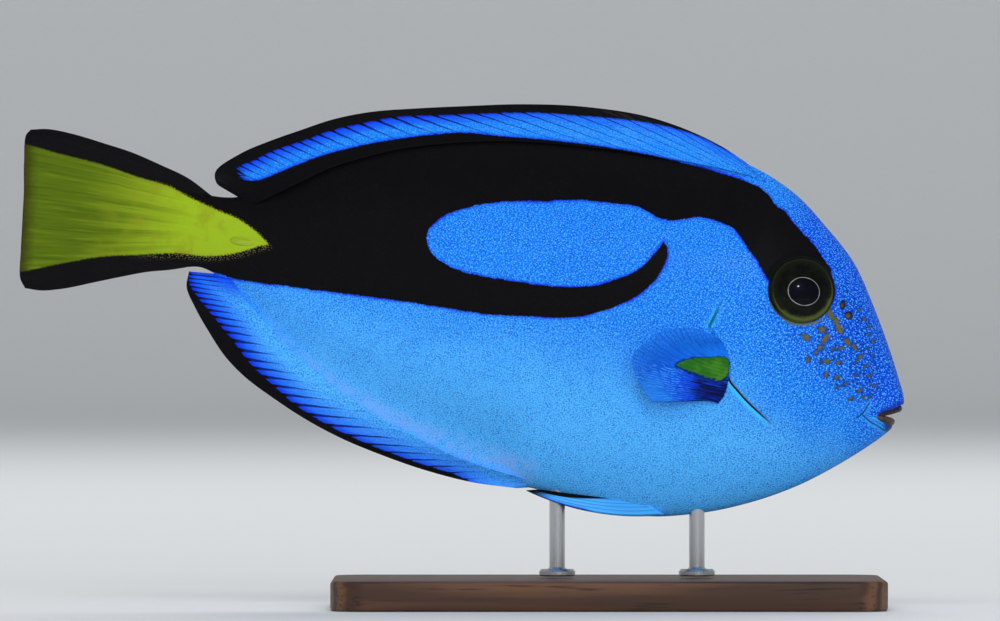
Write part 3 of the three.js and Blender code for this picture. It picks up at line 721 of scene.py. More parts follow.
def ray_lines(phase, width, soft):
    """Thin lines along the middle of each ray."""
    return (phase.math("FRACT") - 0.5).math("ABSOLUTE").fade(width, width + soft)


def along_rays(finish, across, along, scale):
    """Streaks that run with the rays of a fin."""
    flow = finish.node("ShaderNodeCombineXYZ", None, {0: finish.layer("ray") * across,
                                                      1: finish.layer("reach") * along})
    return finish.node("ShaderNodeTexNoise", None, {"Vector": flow, "Scale": scale, "Detail": 2.0})


def edge_fin_finish(name, wedge, fringe, spread):
    """The blue fins of back and belly: dark lines from the black margin in along the rays."""
    finish = Finish(name, **flesh)
    gap, near = finish.layer("margin_gap"), finish.layer("near_body")
    phase = finish.layer("ray") + finish.stir(2.2, 0.22)
    blue_skin(finish, near * 0.30 + 0.50)
    fine = along_rays(finish, 5.0, 7.0, 1.0)
    finish.over(fine.ramp(0.5, 0.72) * (1 - near * 0.6) * 0.55, clear_blue)
    finish.over(fine.fade(0.30, 0.44) * (1 - near * 0.6) * 0.35, (0.09, 0.42, 1.0))
    # Each line is widest at the margin and thins out inwards
    inward = gap.ramp(0.2, wedge)
    bold = finish.layer("bold")
    width = 0.022 + bold * spread * gap.fade(0.2, wedge * 0.5) - inward * (0.01 + bold * 0.02)
    width = width + finish.stir(1.4, 0.05)
    lines = ray_lines(phase, width, 0.06 + bold * 0.04)
    rough_gap = gap + finish.stir(0.6, 0.3) - lines * (0.12 + bold * 0.35)
    deep = rough_gap.fade(0.5, fringe * 4.4) * (0.5 + bold * 0.45)
    finish.over(deep, (0.003, 0.070, 0.74))
    finish.over(rough_gap.fade(0.1, fringe) * (0.5 + bold * 0.4), vivid_blue)
    lines = lines * finish.layer("lined")
    finish.over(lines * (1 - inward * (0.3 + bold * 0.4)), (0.002, 0.012, 0.14))
    finish.over(rough_gap.fade(-0.12, 0.16), fin_black)
    body_black = finish.layer("black_gap") + finish.stir(0.5, 0.32)
    finish.over(body_black.fade(0.0, 0.62) * 0.7, vivid_blue)
    finish.over(body_black.fade(-0.08, 0.12), fin_black)
    wisp = finish.layer("rear") * 2.2 - fine.ramp(0.3, 0.7) * 1.2
    finish.over(wisp.ramp(0.0, 0.7), fin_black)
    return finish.done(0.42 + finish.noise(0.4, 2) * 0.14, fine)


def tail_fin_finish():
    finish = Finish("yellow_tail_fin", **flesh)
    margin = finish.layer("margin_gap") + finish.stir(1.2, 1.0)
    yellow, streak = yellow_flesh(finish)
    yellow = finish.mix(margin.fade(0.0, 2.8) * 0.95, yellow, edge_olive)
    yellow = finish.mix(margin.fade(-0.3, 0.2) * 0.8, yellow, (0.022, 0.020, 0.002))
    finish.colour = black_flesh(finish)
    lay_yellow(finish, yellow)
    return finish.done(0.42 + streak * 0.12, streak, 0.03, 0.5)


def pectoral_finish():
    finish = Finish("pectoral_membrane", **{**flesh, "Coat_Roughness": 0.2})
    reach = finish.layer("reach")
    phase = finish.layer("ray") + finish.stir(2.0, 0.3)
    low = finish.layer("low")
    finish.colour = finish.mix(low, (0.006, 0.17, 0.80), (0.003, 0.085, 0.70))
    silk = along_rays(finish, 2.0, 3.0, 1.3)
    finish.over(silk.ramp(0.45, 0.7) * 0.45, (0.003, 0.05, 0.50))
    lines = ray_lines(phase * 2.0, 0.0, 0.24)
    finish.over(lines * reach.ramp(0.25, 0.7) * 0.42, (0.002, 0.04, 0.36))
    bent = phase * 2.0 + finish.stir(1.3, 2.2)
    shine = ray_lines(bent, 0.02, 0.18) * low.ramp(0.35, 0.8) * reach.ramp(0.2, 0.5)
    finish.over(shine * finish.noise(0.8, 3).ramp(0.38, 0.55) * 0.9, (0.09, 0.46, 1.0))
    corner = low.ramp(0.72, 1.0) * reach.ramp(0.45, 0.85)
    finish.over(corner * 0.7, (0.022, 0.27, 0.92))
    middle = finish.layer("base_gap").fade(0.2, 4.2) * low.ramp(0.3, 0.7)
    finish.over(middle * silk.ramp(0.3, 0.6) * 0.8, (0.002, 0.030, 0.55))
    base = finish.layer("base_gap") + (silk - 0.5) * 9.0 + finish.stir(0.9, 2.0, 3)
    finish.over(base.fade(-1.8, 1.0), (0.002, 0.006, 0.07))
    flash = ray_lines(phase, 0.0, 0.16) * finish.noise(1.5, 2).ramp(0.5, 0.66)
    finish.over(flash * base.fade(-1.6, 0.9) * 0.55, (0.008, 0.05, 0.75))
    patch = finish.layer("patch_gap") + (finish.noise(0.6, 3) - 0.5) * (0.7 + low * 0.7)
    finish.over(patch.fade(0.0, low * 0.9 + 0.1), (0.002, 0.012, 0.10))
    green = finish.mix(finish.noise(2.4, 2).ramp(0.4, 0.65), (0.018, 0.13, 0.012), (0.045, 0.19, 0.014))
    finish.over(patch.fade(-0.2, 0.1), green)
    thin = reach.ramp(0.35, 0.95) * (1 - low.ramp(0.45, 1.0) * 0.45)
    thin = thin * base.ramp(-0.5, 1.5) * patch.ramp(0.0, 0.5)
    finish.set("Alpha", 1 - thin * (0.72 - lines * 0.2))
    finish.material.surface_render_method = "DITHERED"
    return finish.done(0.4, silk, 0.03)


def pelvic_finish():
    finish = Finish("pelvic_membrane", **flesh)
    reach, margin = finish.layer("reach"), finish.layer("margin_gap")
    phase = finish.layer("ray") + finish.stir(2.0, 0.2)
    blue_skin(finish, reach.ramp(0.3, 0.0) * 0.2)
    finish.over(ray_lines(phase, 0.02, 0.2) * reach.ramp(0.3, 0.6) * 0.4, deep_blue)
    rim = margin + finish.stir(0.6, 0.2) + reach.fade(0.3, 0.6) * 2.0
    finish.over(rim.fade(0.1, 0.75) * 0.8, vivid_blue)
    finish.over(rim.fade(0.04, 0.26), soft_black)
    finish.over(reach.fade(0.25, 0.6) * 0.4, (0.02, 0.24, 0.64))
    slot = finish.layer("upper_gap") - reach.ramp(0.15, 1.0) * 1.1
    finish.over(slot.fade(-0.05, 0.2), soft_black)
    finish.over(reach.ramp(0.80, 0.99), soft_black)
    return finish.done(0.40 + finish.noise(0.4, 2) * 0.14)


def lip_finish(name, light, dark):
    finish = Finish(name, IOR=1.4, Specular_IOR_Level=0.15, Coat_Weight=0.2, Coat_Roughness=0.15)
    mottled = finish.noise(0.7, 3)
    finish.colour = finish.mix(mottled.ramp(0.35, 0.7), light, dark)
    finish.over(finish.layer("round").ramp(0.5, 0.9), (0.010, 0.02, 0.06))
    return finish.done(0.3 + mottled * 0.2, finish.noise(0.25, 2), 0.03, 0.5)


def eye_finish():
    finish = Finish("wet_eye", IOR=1.38, Specular_IOR_Level=0.05, Coat_Weight=0.24, Coat_Roughness=0.02,
                    Coat_IOR=1.36)
    radius, pupil = finish.layer("radius"), finish.layer("pupil_gap")
    low, turn = finish.layer("low"), finish.noise(1.3, 3)
    iris = finish.mix(turn.ramp(0.35, 0.7), (0.0010, 0.0019, 0.0013), (0.0034, 0.0047, 0.0027))
    finish.colour = finish.mix(radius.ramp(3.9, 4.7), iris, (0.0044, 0.0058, 0.0030))
    ring = (radius - 5.05 + (turn - 0.5) * 0.4).math("ABSOLUTE").fade(0.0, 0.24)
    olive = finish.mix(low.ramp(0.3, 0.9), (0.009, 0.015, 0.004), (0.075, 0.080, 0.016))
    finish.over(ring, olive)
    wide = (radius + (turn - 0.5) * 0.5).ramp(4.35, 4.95) * (low + (turn - 0.5) * 0.3).ramp(0.60, 0.95)
    finish.over(wide * 0.85, (0.062, 0.085, 0.020))
    dim = finish.mix(low.ramp(0.6, 0.95), (0.004, 0.005, 0.005), (0.040, 0.048, 0.014))
    finish.over(radius.ramp(5.2, 5.34), dim)
    # Painted reflections: sparse pale flecks in the lower iris, tiny dots of reflected light
    reflection_fleck = finish.specks(0.42, 0.06, 0.18) * finish.noise(0.9, 1).ramp(0.54, 0.62)
    reflection_fleck = reflection_fleck * radius.ramp(2.9, 3.4) * radius.fade(4.4, 4.7) * low.ramp(0.3, 0.7)
    finish.over(reflection_fleck * 0.6, (0.07, 0.10, 0.05))
    finish.over(pupil.fade(-0.05, 0.0), (0.0008, 0.0009, 0.0040))
    line = (pupil + (turn - 0.5) * 0.07).math("ABSOLUTE").fade(0.0, 0.095)
    finish.over(line * (0.62 + turn.ramp(0.4, 0.6) * 0.38), (0.30, 0.32, 0.27))
    return finish.done(0.3)


def spine_finish():
    finish = Finish("scalpel_spine", IOR=1.45, Specular_IOR_Level=0.2, Coat_Weight=0.1, Coat_Roughness=0.15)
    grain = finish.noise(0.8, 3, finish.stretched((0.15, 1, 1)))
    finish.colour = finish.mix(grain.ramp(0.3, 0.7), (0.27, 0.38, 0.018), (0.22, 0.31, 0.012))
    return finish.done(0.28 + grain * 0.15, grain)


def wood_finish():
    finish = Finish("satin_walnut", IOR=1.45, Coat_Weight=0.12, Coat_Roughness=0.3)
    sway = finish.noise(30, 2, finish.stretched((0.35, 1, 1)))
    rings = finish.node("ShaderNodeTexWave", {"wave_type": "BANDS", "bands_direction": "Y"},
                        {"Vector": finish.stretched((0.06, 1, 1.4)), "Scale": 130.0, "Distortion": 9.0,
                         "Detail": 3.0, "Detail Scale": 0.6, "Detail Roughness": 0.6}, output="Fac")
    pores = finish.noise(0.5, 2, finish.stretched((0.04, 1, 1)))
    finish.colour = finish.mix((rings * 0.7 + sway * 0.5).ramp(0.25, 0.95), (0.040, 0.017, 0.0085),
                        (0.115, 0.052, 0.024))
    finish.over(pores.ramp(0.56, 0.7) * 0.75, (0.014, 0.006, 0.0035))
    return finish.done(0.38 + pores * 0.2, pores.fade(0.55, 0.75), 0.05, 0.35)


def steel_finish():
    finish = Finish("brushed_steel", Metallic=1.0)
    brushed = finish.noise(0.22, 3, finish.stretched((1, 1, 0.02)))
    finish.colour = finish.mix(brushed, (0.50, 0.51, 0.53), (0.72, 0.73, 0.74))
    return finish.done(0.20 + brushed * 0.22, brushed, 0.01)


# Skin of head, gill covers, trunk and tail stalk in one

ring_spacing = [
    (-64.8, 0.16), (-61, 0.4), (-50, 0.5), (-10, 0.62), (22, 0.62), (30, 0.40), (44, 0.34), (57, 0.30),
    (62, 0.16), (63.9, 0.08),
]
flank_rows = 88
row_crowding = 0.25


def ring_shares():
    """Shares along the body of its rings, closer together where the skin needs detail."""
    fine = np.linspace(0, 1, 4001)
    middle = (smooth_line(back_line, fine)[:, 0] + smooth_line(belly_line, fine)[:, 0]) / 2
    spacing = np.interp(middle, *zip(*ring_spacing))
    step = np.abs(np.diff(middle)) / ((spacing[1:] + spacing[:-1]) / 2)
    count = np.concatenate([[0], np.cumsum(step + 1e-9)])
    return count / count[-1], fine, int(round(count[-1]))


ring_count, ring_fine, skin_rings = ring_shares()


def skin_places(params):
    shares = np.interp(params[:, 0], ring_count, ring_fine)
    turn = params[:, 1] * math.pi
    return body_surface(shares, turn + row_crowding * np.sin(2 * turn))


gill_line = drawn(gill_slit)
fold_lines = [drawn(jaw_fold), drawn(lower_jaw_fold)]
ridge_line = drawn(cheek_ridge)
gape_outline = closed(gape)


def eye_distance(x, z):
    return np.hypot(x - eye_centre[0], z - eye_centre[1])


def nostril_gap(x, z):
    gaps = [(np.hypot((x - nx) / wide, (z - nz) / tall) - 1) * min(wide, tall)
            for nx, nz, wide, tall in nostrils]
    return np.minimum.reduce(gaps)


def blotch_gap(x, z):
    gap = off_line(x, z, drawn(eye_streak)) - 0.48
    for bx, bz, long, short, turn in blotches:
        c, s = math.cos(math.radians(turn)), math.sin(math.radians(turn))
        along, across = (x - bx) * c + (z - bz) * s, (z - bz) * c - (x - bx) * s
        gap = np.minimum(gap, (np.hypot(along / long, across / short) - 1) * short)
    return gap


def detail_level(x, z):
    """How many times the skin's grid is divided at a place."""
    eye = np.abs(eye_distance(x, z) - 5.7) < 0.9
    cheek = (x > 44.5) & (x < 59) & (z > -4.5) & (z < 12.5)
    fine = (off_line(x, z, gill_line) < 0.75) | (nostril_gap(x, z) < 0.35)
    for line in fold_lines:
        fine |= off_line(x, z, line) < 0.4
    fine |= (x > 59.2) & (z < -2.2) & (z > -8.8)
    stalk = (np.abs(x - spine_centre[0]) < 4.6) & (np.abs(z - spine_centre[1]) < 1.8)
    return np.where(fine, 2, np.where(eye | cheek | stalk, 1, 0))


def gill_parts(share):
    """How plainly the slit shows along its length, and its upper part by itself."""
    ends = eased(share, 0.0, 0.12) * (1 - eased(share, 0.84, 0.93))
    middle = eased(share, 0.155, 0.19) * (1 - eased(share, 0.59, 0.65))
    return ends * (1 - 0.92 * middle), 1 - eased(share, 0.25, 0.45)


def skin_relief(x, z):
    """Height of the skin over the smooth body, in millimetres."""
    gap, side, share = line_gap(x, z, gill_line)
    ahead = gap * side
    shown, upper = gill_parts(share)
    cover = np.where(ahead > 0, 0.30 * np.exp(-np.maximum(ahead, 0) / 3.2) * eased(ahead, 0, 0.25), 0)
    slit = (-0.6 + 0.4 * upper) * hump(ahead + 0.10, 0.11)
    dip = np.where(ahead < 0, -0.10 * np.exp(np.minimum(ahead, 0) / 1.4), 0)
    relief = cover * (1 - eased(share, 0.80, 0.93)) * eased(share, 0, 0.12) + (slit + dip) * shown
    eye = eye_distance(x, z)
    relief += 0.30 * hump(eye - socket_rim, 0.36) - 1.5 * (1 - eased(eye, 4.7, 5.5))
    relief += 0.08 * hump(eye - 6.9, 0.9) * eased(z, 5, 14)
    relief += 0.10 * hump(off_line(x, z, ridge_line), 0.9)
    for line in fold_lines:
        relief -= 0.18 * hump(off_line(x, z, line), 0.12)
    nostril = nostril_gap(x, z)
    relief += 0.10 * hump(nostril - 0.12, 0.14) - 0.6 * (1 - eased(nostril, -0.3, 0.0))
    groove = np.hypot((x - spine_centre[0]) / 3.6, (z - spine_centre[1]) / 0.9)
    relief += -0.12 * (1 - eased(groove, 0.6, 1.2))
    relief += 0.10 * hump(off_line(x, z, drawn(fin_base_sheen)), 1.8)
    return relief


def make_skin():
    bm = param_grid(skin_rings, flank_rows)
    for level in range(2):
        bm.verts.ensure_lookup_table()
        bm.verts.index_update()
        places = skin_places(points_of(bm))
        wanted = detail_level(places[:, 0], places[:, 2]) > level
        faces = [face for face in bm.faces if any(wanted[vert.index] for vert in face.verts)]
        edges = list({edge for face in faces for edge in face.edges})
        bmesh.ops.subdivide_edges(bm, edges=edges, cuts=1, use_grid_fill=True)
    set_points(bm, skin_places(points_of(bm)))
    both_sides(bm, 1e-4)
    mesh = to_mesh(bm, "blue_tang_skin", 2e-3)
    places, normals = places_of(mesh), places_of(mesh, "normal")
    x, z = places[:, 0], places[:, 2]
    net_rise = unrolled(places)
    places = places + normals * skin_relief(x, z)[:, None]
    mouth = np.clip(-outline_gap(x, z, gape_outline), 0, 1)
    pull = 0.8 * eased(mouth, 0.0, 0.4)
    places[:, 0] -= lower_jaw_set_back * eased(x, 60, 63) * eased(z, -7.4, -6.2) * (1 - eased(z, -4.6, -3.8))
    places += pull[:, None] * (np.array(gape_floor) - places)
    set_places(mesh, places)
    gap, side, share = line_gap(x, z, gill_line)
    shown, upper = gill_parts(share)
    freckled = 1 - eased(outline_gap(x, z, closed(freckle_patch)), -1.2, 0.6)
    paint(
        mesh,
        net_run=x,
        net_rise=net_rise,
        tone=blue_tone(x, z),
        head=eased(x, 22, 46) * (0.45 + 0.55 * eased(z, -16, 6)),
        wavy=0.5 + 1.1 * eased(x, 30, 40),
        freckle=freckled,
        black_gap=black_gap(x, z),
        yellow_gap=yellow_gap(x, z),
        sheen_gap=off_line(x, z, drawn(fin_base_sheen)),
        blotch_gap=blotch_gap(x, z),
        gill_gap=gap * side,
        gill_shown=shown,
        gill_upper=upper,
        lip_glow_gap=off_line(x, z, drawn(lip_glow)),
        fold_gap=np.minimum(*(off_line(x, z, line) for line in fold_lines)),
        corner=eased(x, 56.5, 58.5),
        jaw_shade_gap=outline_gap(x, z, closed(jaw_shade)),
        nostril_gap=nostril_gap(x, z),
        eye_gap=eye_distance(x, z) - socket_edge,
        glow_gap=off_line(x, z, drawn(lower_eyelid_glow)),
        lip_edge_gap=off_line(x, z, drawn(upper_lip_edge)),
        mouth=mouth,
        **tail_layers(x, z),
    )
    finished("skin", mesh, in_place, skin_finish(), "skin", "head", "trunk", "tail_stalk",
             "gill_cover_right", "gill_cover_left")


# Fins

def ray_relief(phase, reach, branch_from):
    """Height of the rays, from 0 between them to 1 on their crest; they fork on the way out."""
    off_middle = np.abs(phase % 1 - 0.5)
    fork = 0.24 * eased(reach, branch_from, 1.0)
    return hump(off_middle - fork, 0.13)


def make_fin(node, rays, columns_per_ray, rows, surface, material, layers, root_half, ridge, branch_from,
             round_edge, name=None, slot="fins", margin_half=0.16, sway=None, ray_start=(-0.1, 0)):
    """A closed membrane with raised forking rays over the surface that a function gives."""
    name = f"{name or node}_membrane"
    bm = param_grid(rays * columns_per_ray, rows)
    u, v, _ = points_of(bm).T
    v = 1 - (1 - v) ** 1.5
    half = margin_half + (root_half - margin_half) * (1 - v) ** 2.5
    half = half + ridge * (1 - 0.55 * v) * eased(v, *ray_start) * ray_relief(u * rays, v, branch_from)
    rim = np.minimum.reduce([np.clip((1 - v) / round_edge, 0, 1), np.clip(v / 0.02, 0, 1),
                             np.clip(u * rays / 0.5, 0, 1), np.clip((1 - u) * rays / 0.5, 0, 1)])
    half = half * np.sqrt(np.clip(1 - (1 - rim) ** 2, 0, 1))
    set_points(bm, np.stack([u, half, v], 1))
    both_sides(bm, 1e-6)
    bmesh.ops.recalc_face_normals(bm, faces=bm.faces)
    mesh = as_mesh(bm, name)
    u, half, v = places_of(mesh).T
    nudge = 1e-3
    across = surface(np.clip(u + nudge, 0, 1), v) - surface(np.clip(u - nudge, 0, 1), v)
    out = surface(u, np.clip(v + nudge, 0, 1)) - surface(u, np.clip(v - nudge, 0, 1))
    normal = np.cross(across, out)
    normal /= np.maximum(np.linalg.norm(normal, axis=1, keepdims=True), 1e-9)
    places = surface(u, v)
    if sway:
        places = places + normal * sway(u, v)[:, None]
    places = places + normal * half[:, None]
    set_places(mesh, places)
    tips = surface(np.linspace(0, 1, 161), np.ones(161))[:, [0, 2]]
    x, z = places[:, 0], places[:, 2]
    margin = off_line(x, z, tips)
    numbers = {"ray": u * rays, "reach": v, "net_run": x, "net_rise": z, "tone": blue_tone(x, z)}
    numbers.update(layers(x, z, u, v, margin))
    paint(mesh, **numbers)
    bm = bmesh.new()
    bm.from_mesh(mesh)
    bmesh.ops.recalc_face_normals(bm, faces=bm.faces)
    bm.to_mesh(mesh)
    bm.free()
    finished(name, mesh, in_place, material, slot, node)


def upright_fin(ray_lines_given):
    """The fin in the fish's middle plane through rays given by root and tip."""
    roots = [(x, z) for x, z, _, _ in ray_lines_given]
    tips = [(x, z) for _, _, x, z in ray_lines_given]

    def surface(u, v):
        place = smooth_line(roots, u) * (1 - v)[:, None] + smooth_line(tips, u) * v[:, None]
        return np.stack([place[:, 0], np.zeros(len(u)), place[:, 1]], 1)
    return surface


def four_edged_fin(top, bottom, root, tip):
    """The fin in the fish's middle plane that fills the space between its four edges."""
    corners = [np.array(point, float) for point in (top[0], top[-1], bottom[0], bottom[-1])]

    def surface(u, v):
        u, v = u[:, None], v[:, None]
        flat = (1 - u) * smooth_line(top, v[:, 0]) + u * smooth_line(bottom, v[:, 0])
        flat += (1 - v) * smooth_line(root, u[:, 0]) + v * smooth_line(tip, u[:, 0])
        flat -= (1 - u) * ((1 - v) * corners[0] + v * corners[1])
        flat -= u * ((1 - v) * corners[2] + v * corners[3])
        return np.stack([flat[:, 0], np.zeros(len(flat)), flat[:, 1]], 1)
    return surface


def along(values, share):
    return smooth_line([(i, value) for i, value in enumerate(values)], share)[:, 1]


def bent_fin(root, bend, tip):
    """Rays that leave the root, bend and run on to the tip."""
    def surface(u, v):
        v = v[:, None]
        return root(u) * (1 - v) ** 2 + bend(u) * 2 * v * (1 - v) + tip(u) * v**2
    return surface


def off_flank(points, stand, side):
    def line(u):
        x, z = smooth_line(points, u).T
        return np.stack([x, side * (flank_at(x, z) + along(stand, u)), z], 1)
    return line


def beside_belly(points, aside, side):
    def line(u):
        x, z = smooth_line(points, u).T
        return np.stack([x, np.full(len(u), side * aside), z], 1)
    return line


def make_fins():
    stripe_line = drawn(stripe_top)
    anal_line = drawn(anal_blue_edge)

    def closer_rear(u, rays, spread, extra):
        """Numbers the rays so that they stand closer together towards the rear."""
        return rays * (spread * u + extra * np.clip((u - 0.55) / 0.45, 0, 1) ** 2)

    def dorsal_layers(x, z, u, v, margin):
        gap, above, _ = line_gap(x, z, stripe_line)
        return {
            "ray": closer_rear(u, dorsal_rays, 1.2, 0.32),
            "lined": np.ones(len(x)),
            "margin_gap": -gap * above,
            "black_gap": black_gap(x, z),
            "near_body": eased(x, 26, 35),
            "bold": 1 - eased(x, -30, 5),
            "rear": 1 - eased(x + 0.5 * z, -46.2, -41.6),
        }

    def anal_layers(x, z, u, v, margin):
        gap, inside, _ = line_gap(x, z, anal_line)
        return {
            "ray": closer_rear(u, anal_rays, 1.0, 0.26),
            "lined": eased(v, 0.22, 0.5) * (1 - eased(x, -9, -2)),
            "margin_gap": gap * inside + 2.0 * eased(x, -9, 1),
            "black_gap": np.maximum(black_gap(x, z), 1.0),
            "near_body": 1 - eased(v, 0.28, 0.55),
            "bold": (0.35 + 0.65 * (1 - eased(x, -50, -15))) * (1 - eased(x, -12, 2)),
            "rear": np.zeros(len(x)),
        }

    def caudal_layers(x, z, u, v, margin):
        return {"margin_gap": margin, "yellow_gap": yellow_gap(x, z), **tail_layers(x, z)}

    def wavy(*waves):
        """Waves of a fin, growing towards its edge: height, count and shift of each."""
        return lambda u, v: v**2 * sum(height * np.sin(u * count + shift) for height, count, shift in waves)

    make_fin("dorsal_fin", dorsal_rays, 10, 60, upright_fin(dorsal_ray_lines),
             edge_fin_finish("dorsal_membrane", 5.0, 0.5, 0.05), dorsal_layers, root_half=1.5, ridge=0.06,
             branch_from=0.7, round_edge=0.03, sway=wavy((0.25, 19, 0), (0.12, 47, 0)))
    make_fin("anal_fin", anal_rays, 10, 60, upright_fin(anal_ray_lines),
             edge_fin_finish("anal_membrane", 6.5, 1.2, 0.13), anal_layers, root_half=1.5, ridge=0.07,
             branch_from=0.6, round_edge=0.03, sway=wavy((0.22, 17, 1), (0.12, 41, 0)))
    make_fin("caudal_fin", caudal_rays, 14, 90,
             four_edged_fin(caudal_top, caudal_bottom, caudal_root, caudal_tip),
             tail_fin_finish(), caudal_layers, name="tail_fin", slot="tail_fin", root_half=0.75, ridge=0.07,
             branch_from=0.25, round_edge=0.02, ray_start=(0.1, 0.4), sway=wavy((0.5, 5, 0.6), (0.14, 33, 0)))
    patch, base = (drawn(line, closed=True) for line in (pectoral_patch, pectoral_base))

    def pectoral_layers(x, z, u, v, margin):
        return {
            "margin_gap": margin,
            "patch_gap": outline_gap(x, z, patch),
            "base_gap": outline_gap(x, z, base),
            "low": eased(u + 0.12 * np.sin(v * 4), 0.3, 0.85),
        }

    def pelvic_layers(x, z, u, v, margin):
        return {"margin_gap": np.minimum(margin, 2.6 * u), "upper_gap": 2.6 * (1 - u)}

    paddle, keel = pectoral_finish(), pelvic_finish()
    for side_name, side in sides.items():
        spread = bent_fin(
            off_flank(pectoral_root, (-pectoral_root_sink,) * 2, side),
            off_flank(pectoral_bend, pectoral_bend_stand, side),
            off_flank(pectoral_tip, pectoral_tip_stand, side),
        )
        make_fin(f"pectoral_fin_{side_name}", pectoral_rays, 10, 60, spread, paddle, pectoral_layers,
                 root_half=1.15, margin_half=0.07, ridge=0.11, branch_from=0.3, round_edge=0.02,
                 sway=wavy((0.16, 23, 0)))
        folded = bent_fin(*(beside_belly(line, aside, side) for line, aside in
                            zip((pelvic_root, pelvic_bend, pelvic_tip), pelvic_aside)))
        make_fin(f"pelvic_fin_{side_name}", pelvic_rays, 10, 60, folded, keel, pelvic_layers,
                 root_half=0.6, margin_half=0.2, ridge=0.16, branch_from=0.6, round_edge=0.03)


# Eyes, lips and spines

eye_radius = 5.8
eye_depth = 2.2
eye_sink = 0.9
eye_turn_forward = math.radians(9)
eye_turn_up = math.radians(10)
pupil_half = (2.67, 2.33)
pupil_shift = (0.1, -0.45)


def on_flank(side, x, z, sink):
    return (
        Matrix.Translation((x, side * (float(flank_at(np.array(x), np.array(z))) - sink), z))
        @ Matrix.Rotation(-side * eye_turn_forward, 4, "Z")
        @ Matrix.Rotation(side * eye_turn_up, 4, "X")
    )


def make_eyes():
    wet = eye_finish()
    for side_name, side in sides.items():
        bm = bmesh.new()
        bmesh.ops.create_uvsphere(bm, u_segments=96, v_segments=72, radius=1)
        bmesh.ops.rotate(bm, verts=bm.verts, cent=(0, 0, 0), matrix=Matrix.Rotation(math.pi / 2, 3, "X"))
        bmesh.ops.scale(bm, verts=bm.verts, vec=(eye_radius, eye_depth, eye_radius))
        mesh = to_mesh(bm, f"eye_{side_name}_ball")
        places = places_of(mesh)
        x, y, z = places.T
        radius = np.hypot(x, z)
        # The clear front swells over the pupil, and the iris dips before the rim
        swell = 0.16 * hump(radius, 2.9) - 0.12 * hump(radius - 4.6, 0.7)
        places[:, 1] += np.sign(y) * swell
        set_places(mesh, places)
        px, pz = x - pupil_shift[0], z - pupil_shift[1]
        pupil = (np.hypot(px / pupil_half[0], pz / pupil_half[1]) - 1) * min(pupil_half)
        lowness = 0.5 - 0.5 * (z * 0.9 - x * 0.43) / np.maximum(radius, 0.1)
        paint(mesh, radius=radius, pupil_gap=pupil, low=lowness)
        place = in_place @ on_flank(side, *eye_centre, eye_sink)
        finished(f"eye_{side_name}_ball", mesh, place, wet, "eyes", f"eye_{side_name}")


def tube(name, path, radius, steps, around):
    """A round form along a path of x, y, z, its radius given by a function of the share along it."""
    bm = param_grid(steps, around)
    u, v, _ = points_of(bm).T
    nudge = 1e-3
    middle = smooth_line(path, u)
    ahead = smooth_line(path, np.clip(u + nudge, 0, 1)) - smooth_line(path, np.clip(u - nudge, 0, 1))
    ahead /= np.linalg.norm(ahead, axis=1, keepdims=True)
    right = np.cross(ahead, (0, 0, 1))
    right /= np.linalg.norm(right, axis=1, keepdims=True)
    up = np.cross(right, ahead)
    turn = (2 * math.pi * v)[:, None]
    size = (radius(u) * np.sqrt(np.clip(1 - (2 * u - 1) ** 24, 0, 1)))[:, None]
    set_points(bm, middle + size * (np.cos(turn) * right + np.sin(turn) * up))
    return to_mesh(bm, name, 1e-3)


# Each lip by its right half, from the corner of the mouth to the middle: x, y, z, then its thickness
lips = {
    "upper": ([(59.7, -3.2, -5.65), (60.5, -2.95, -5.15), (61.6, -2.35, -4.6), (62.6, -1.35, -4.05),
               (63.0, 0, -3.85)], 0.66),
    "lower": ([(59.7, -3.2, -5.85), (60.3, -2.9, -5.95), (61.05, -2.3, -6.05), (61.8, -1.3, -6.2),
               (62.15, 0, -6.25)], 0.68),
}


def make_lips():
    finishes = {
        "upper": lip_finish("upper_lip_skin", (0.022, 0.015, 0.014), (0.007, 0.009, 0.030)),
        "lower": lip_finish("lower_lip_skin", (0.085, 0.050, 0.030), (0.030, 0.030, 0.016)),
    }
    for name, (path, thick) in lips.items():
        whole = path + [(x, -y, z) for x, y, z in path[-2::-1]]

        def radius(u):
            return thick * (0.35 + 0.65 * np.sin(math.pi * u) ** 0.7)

        mesh = tube(f"{name}_lip_flesh", whole, radius, 90, 28)
        x, _, z = places_of(mesh).T
        towards = z - np.interp(x, [p[0] for p in path], [p[2] for p in path])
        paint(mesh, round=0.5 + (towards if name == "upper" else -towards) / thick / 2)
        finished(f"{name}_lip_flesh", mesh, in_place, finishes[name], "lips", f"{name}_lip")


spine_half = 3.2
spine_thick = 0.75
spine_flatness = 0.7
spine_turn = math.radians(5)
spine_profile = [
    (-1.0, 0.0), (-0.94, 0.45), (-0.8, 0.78), (-0.55, 0.97), (-0.3, 1.0), (0.1, 0.86), (0.45, 0.62),
    (0.75, 0.34), (0.93, 0.12), (1.0, 0.0),
]


def make_spines():
    horn = spine_finish()
    x, z = spine_centre
    flank = float(flank_at(np.array(x), np.array(z)))
    for side_name, side in sides.items():
        bm = param_grid(60, 32)
        u, v, _ = points_of(bm).T
        along_spine, thick = smooth_line(spine_profile, u).T
        turn = 2 * math.pi * v
        thick = np.clip(thick, 0, 1) * spine_thick
        across, up = thick * spine_flatness * np.cos(turn), thick * np.sin(turn)
        set_points(bm, np.stack([along_spine * spine_half, across, up], 1))
        name = f"caudal_spine_{side_name}"
        mesh = to_mesh(bm, f"{name}_horn", 1e-3)
        place = in_place @ Matrix.Translation((x, side * (flank - spine_sink), z))
        place = place @ Matrix.Rotation(side * spine_turn, 4, "Z")
        finished(f"{name}_horn", mesh, place, horn, "spines", name)


# Stand

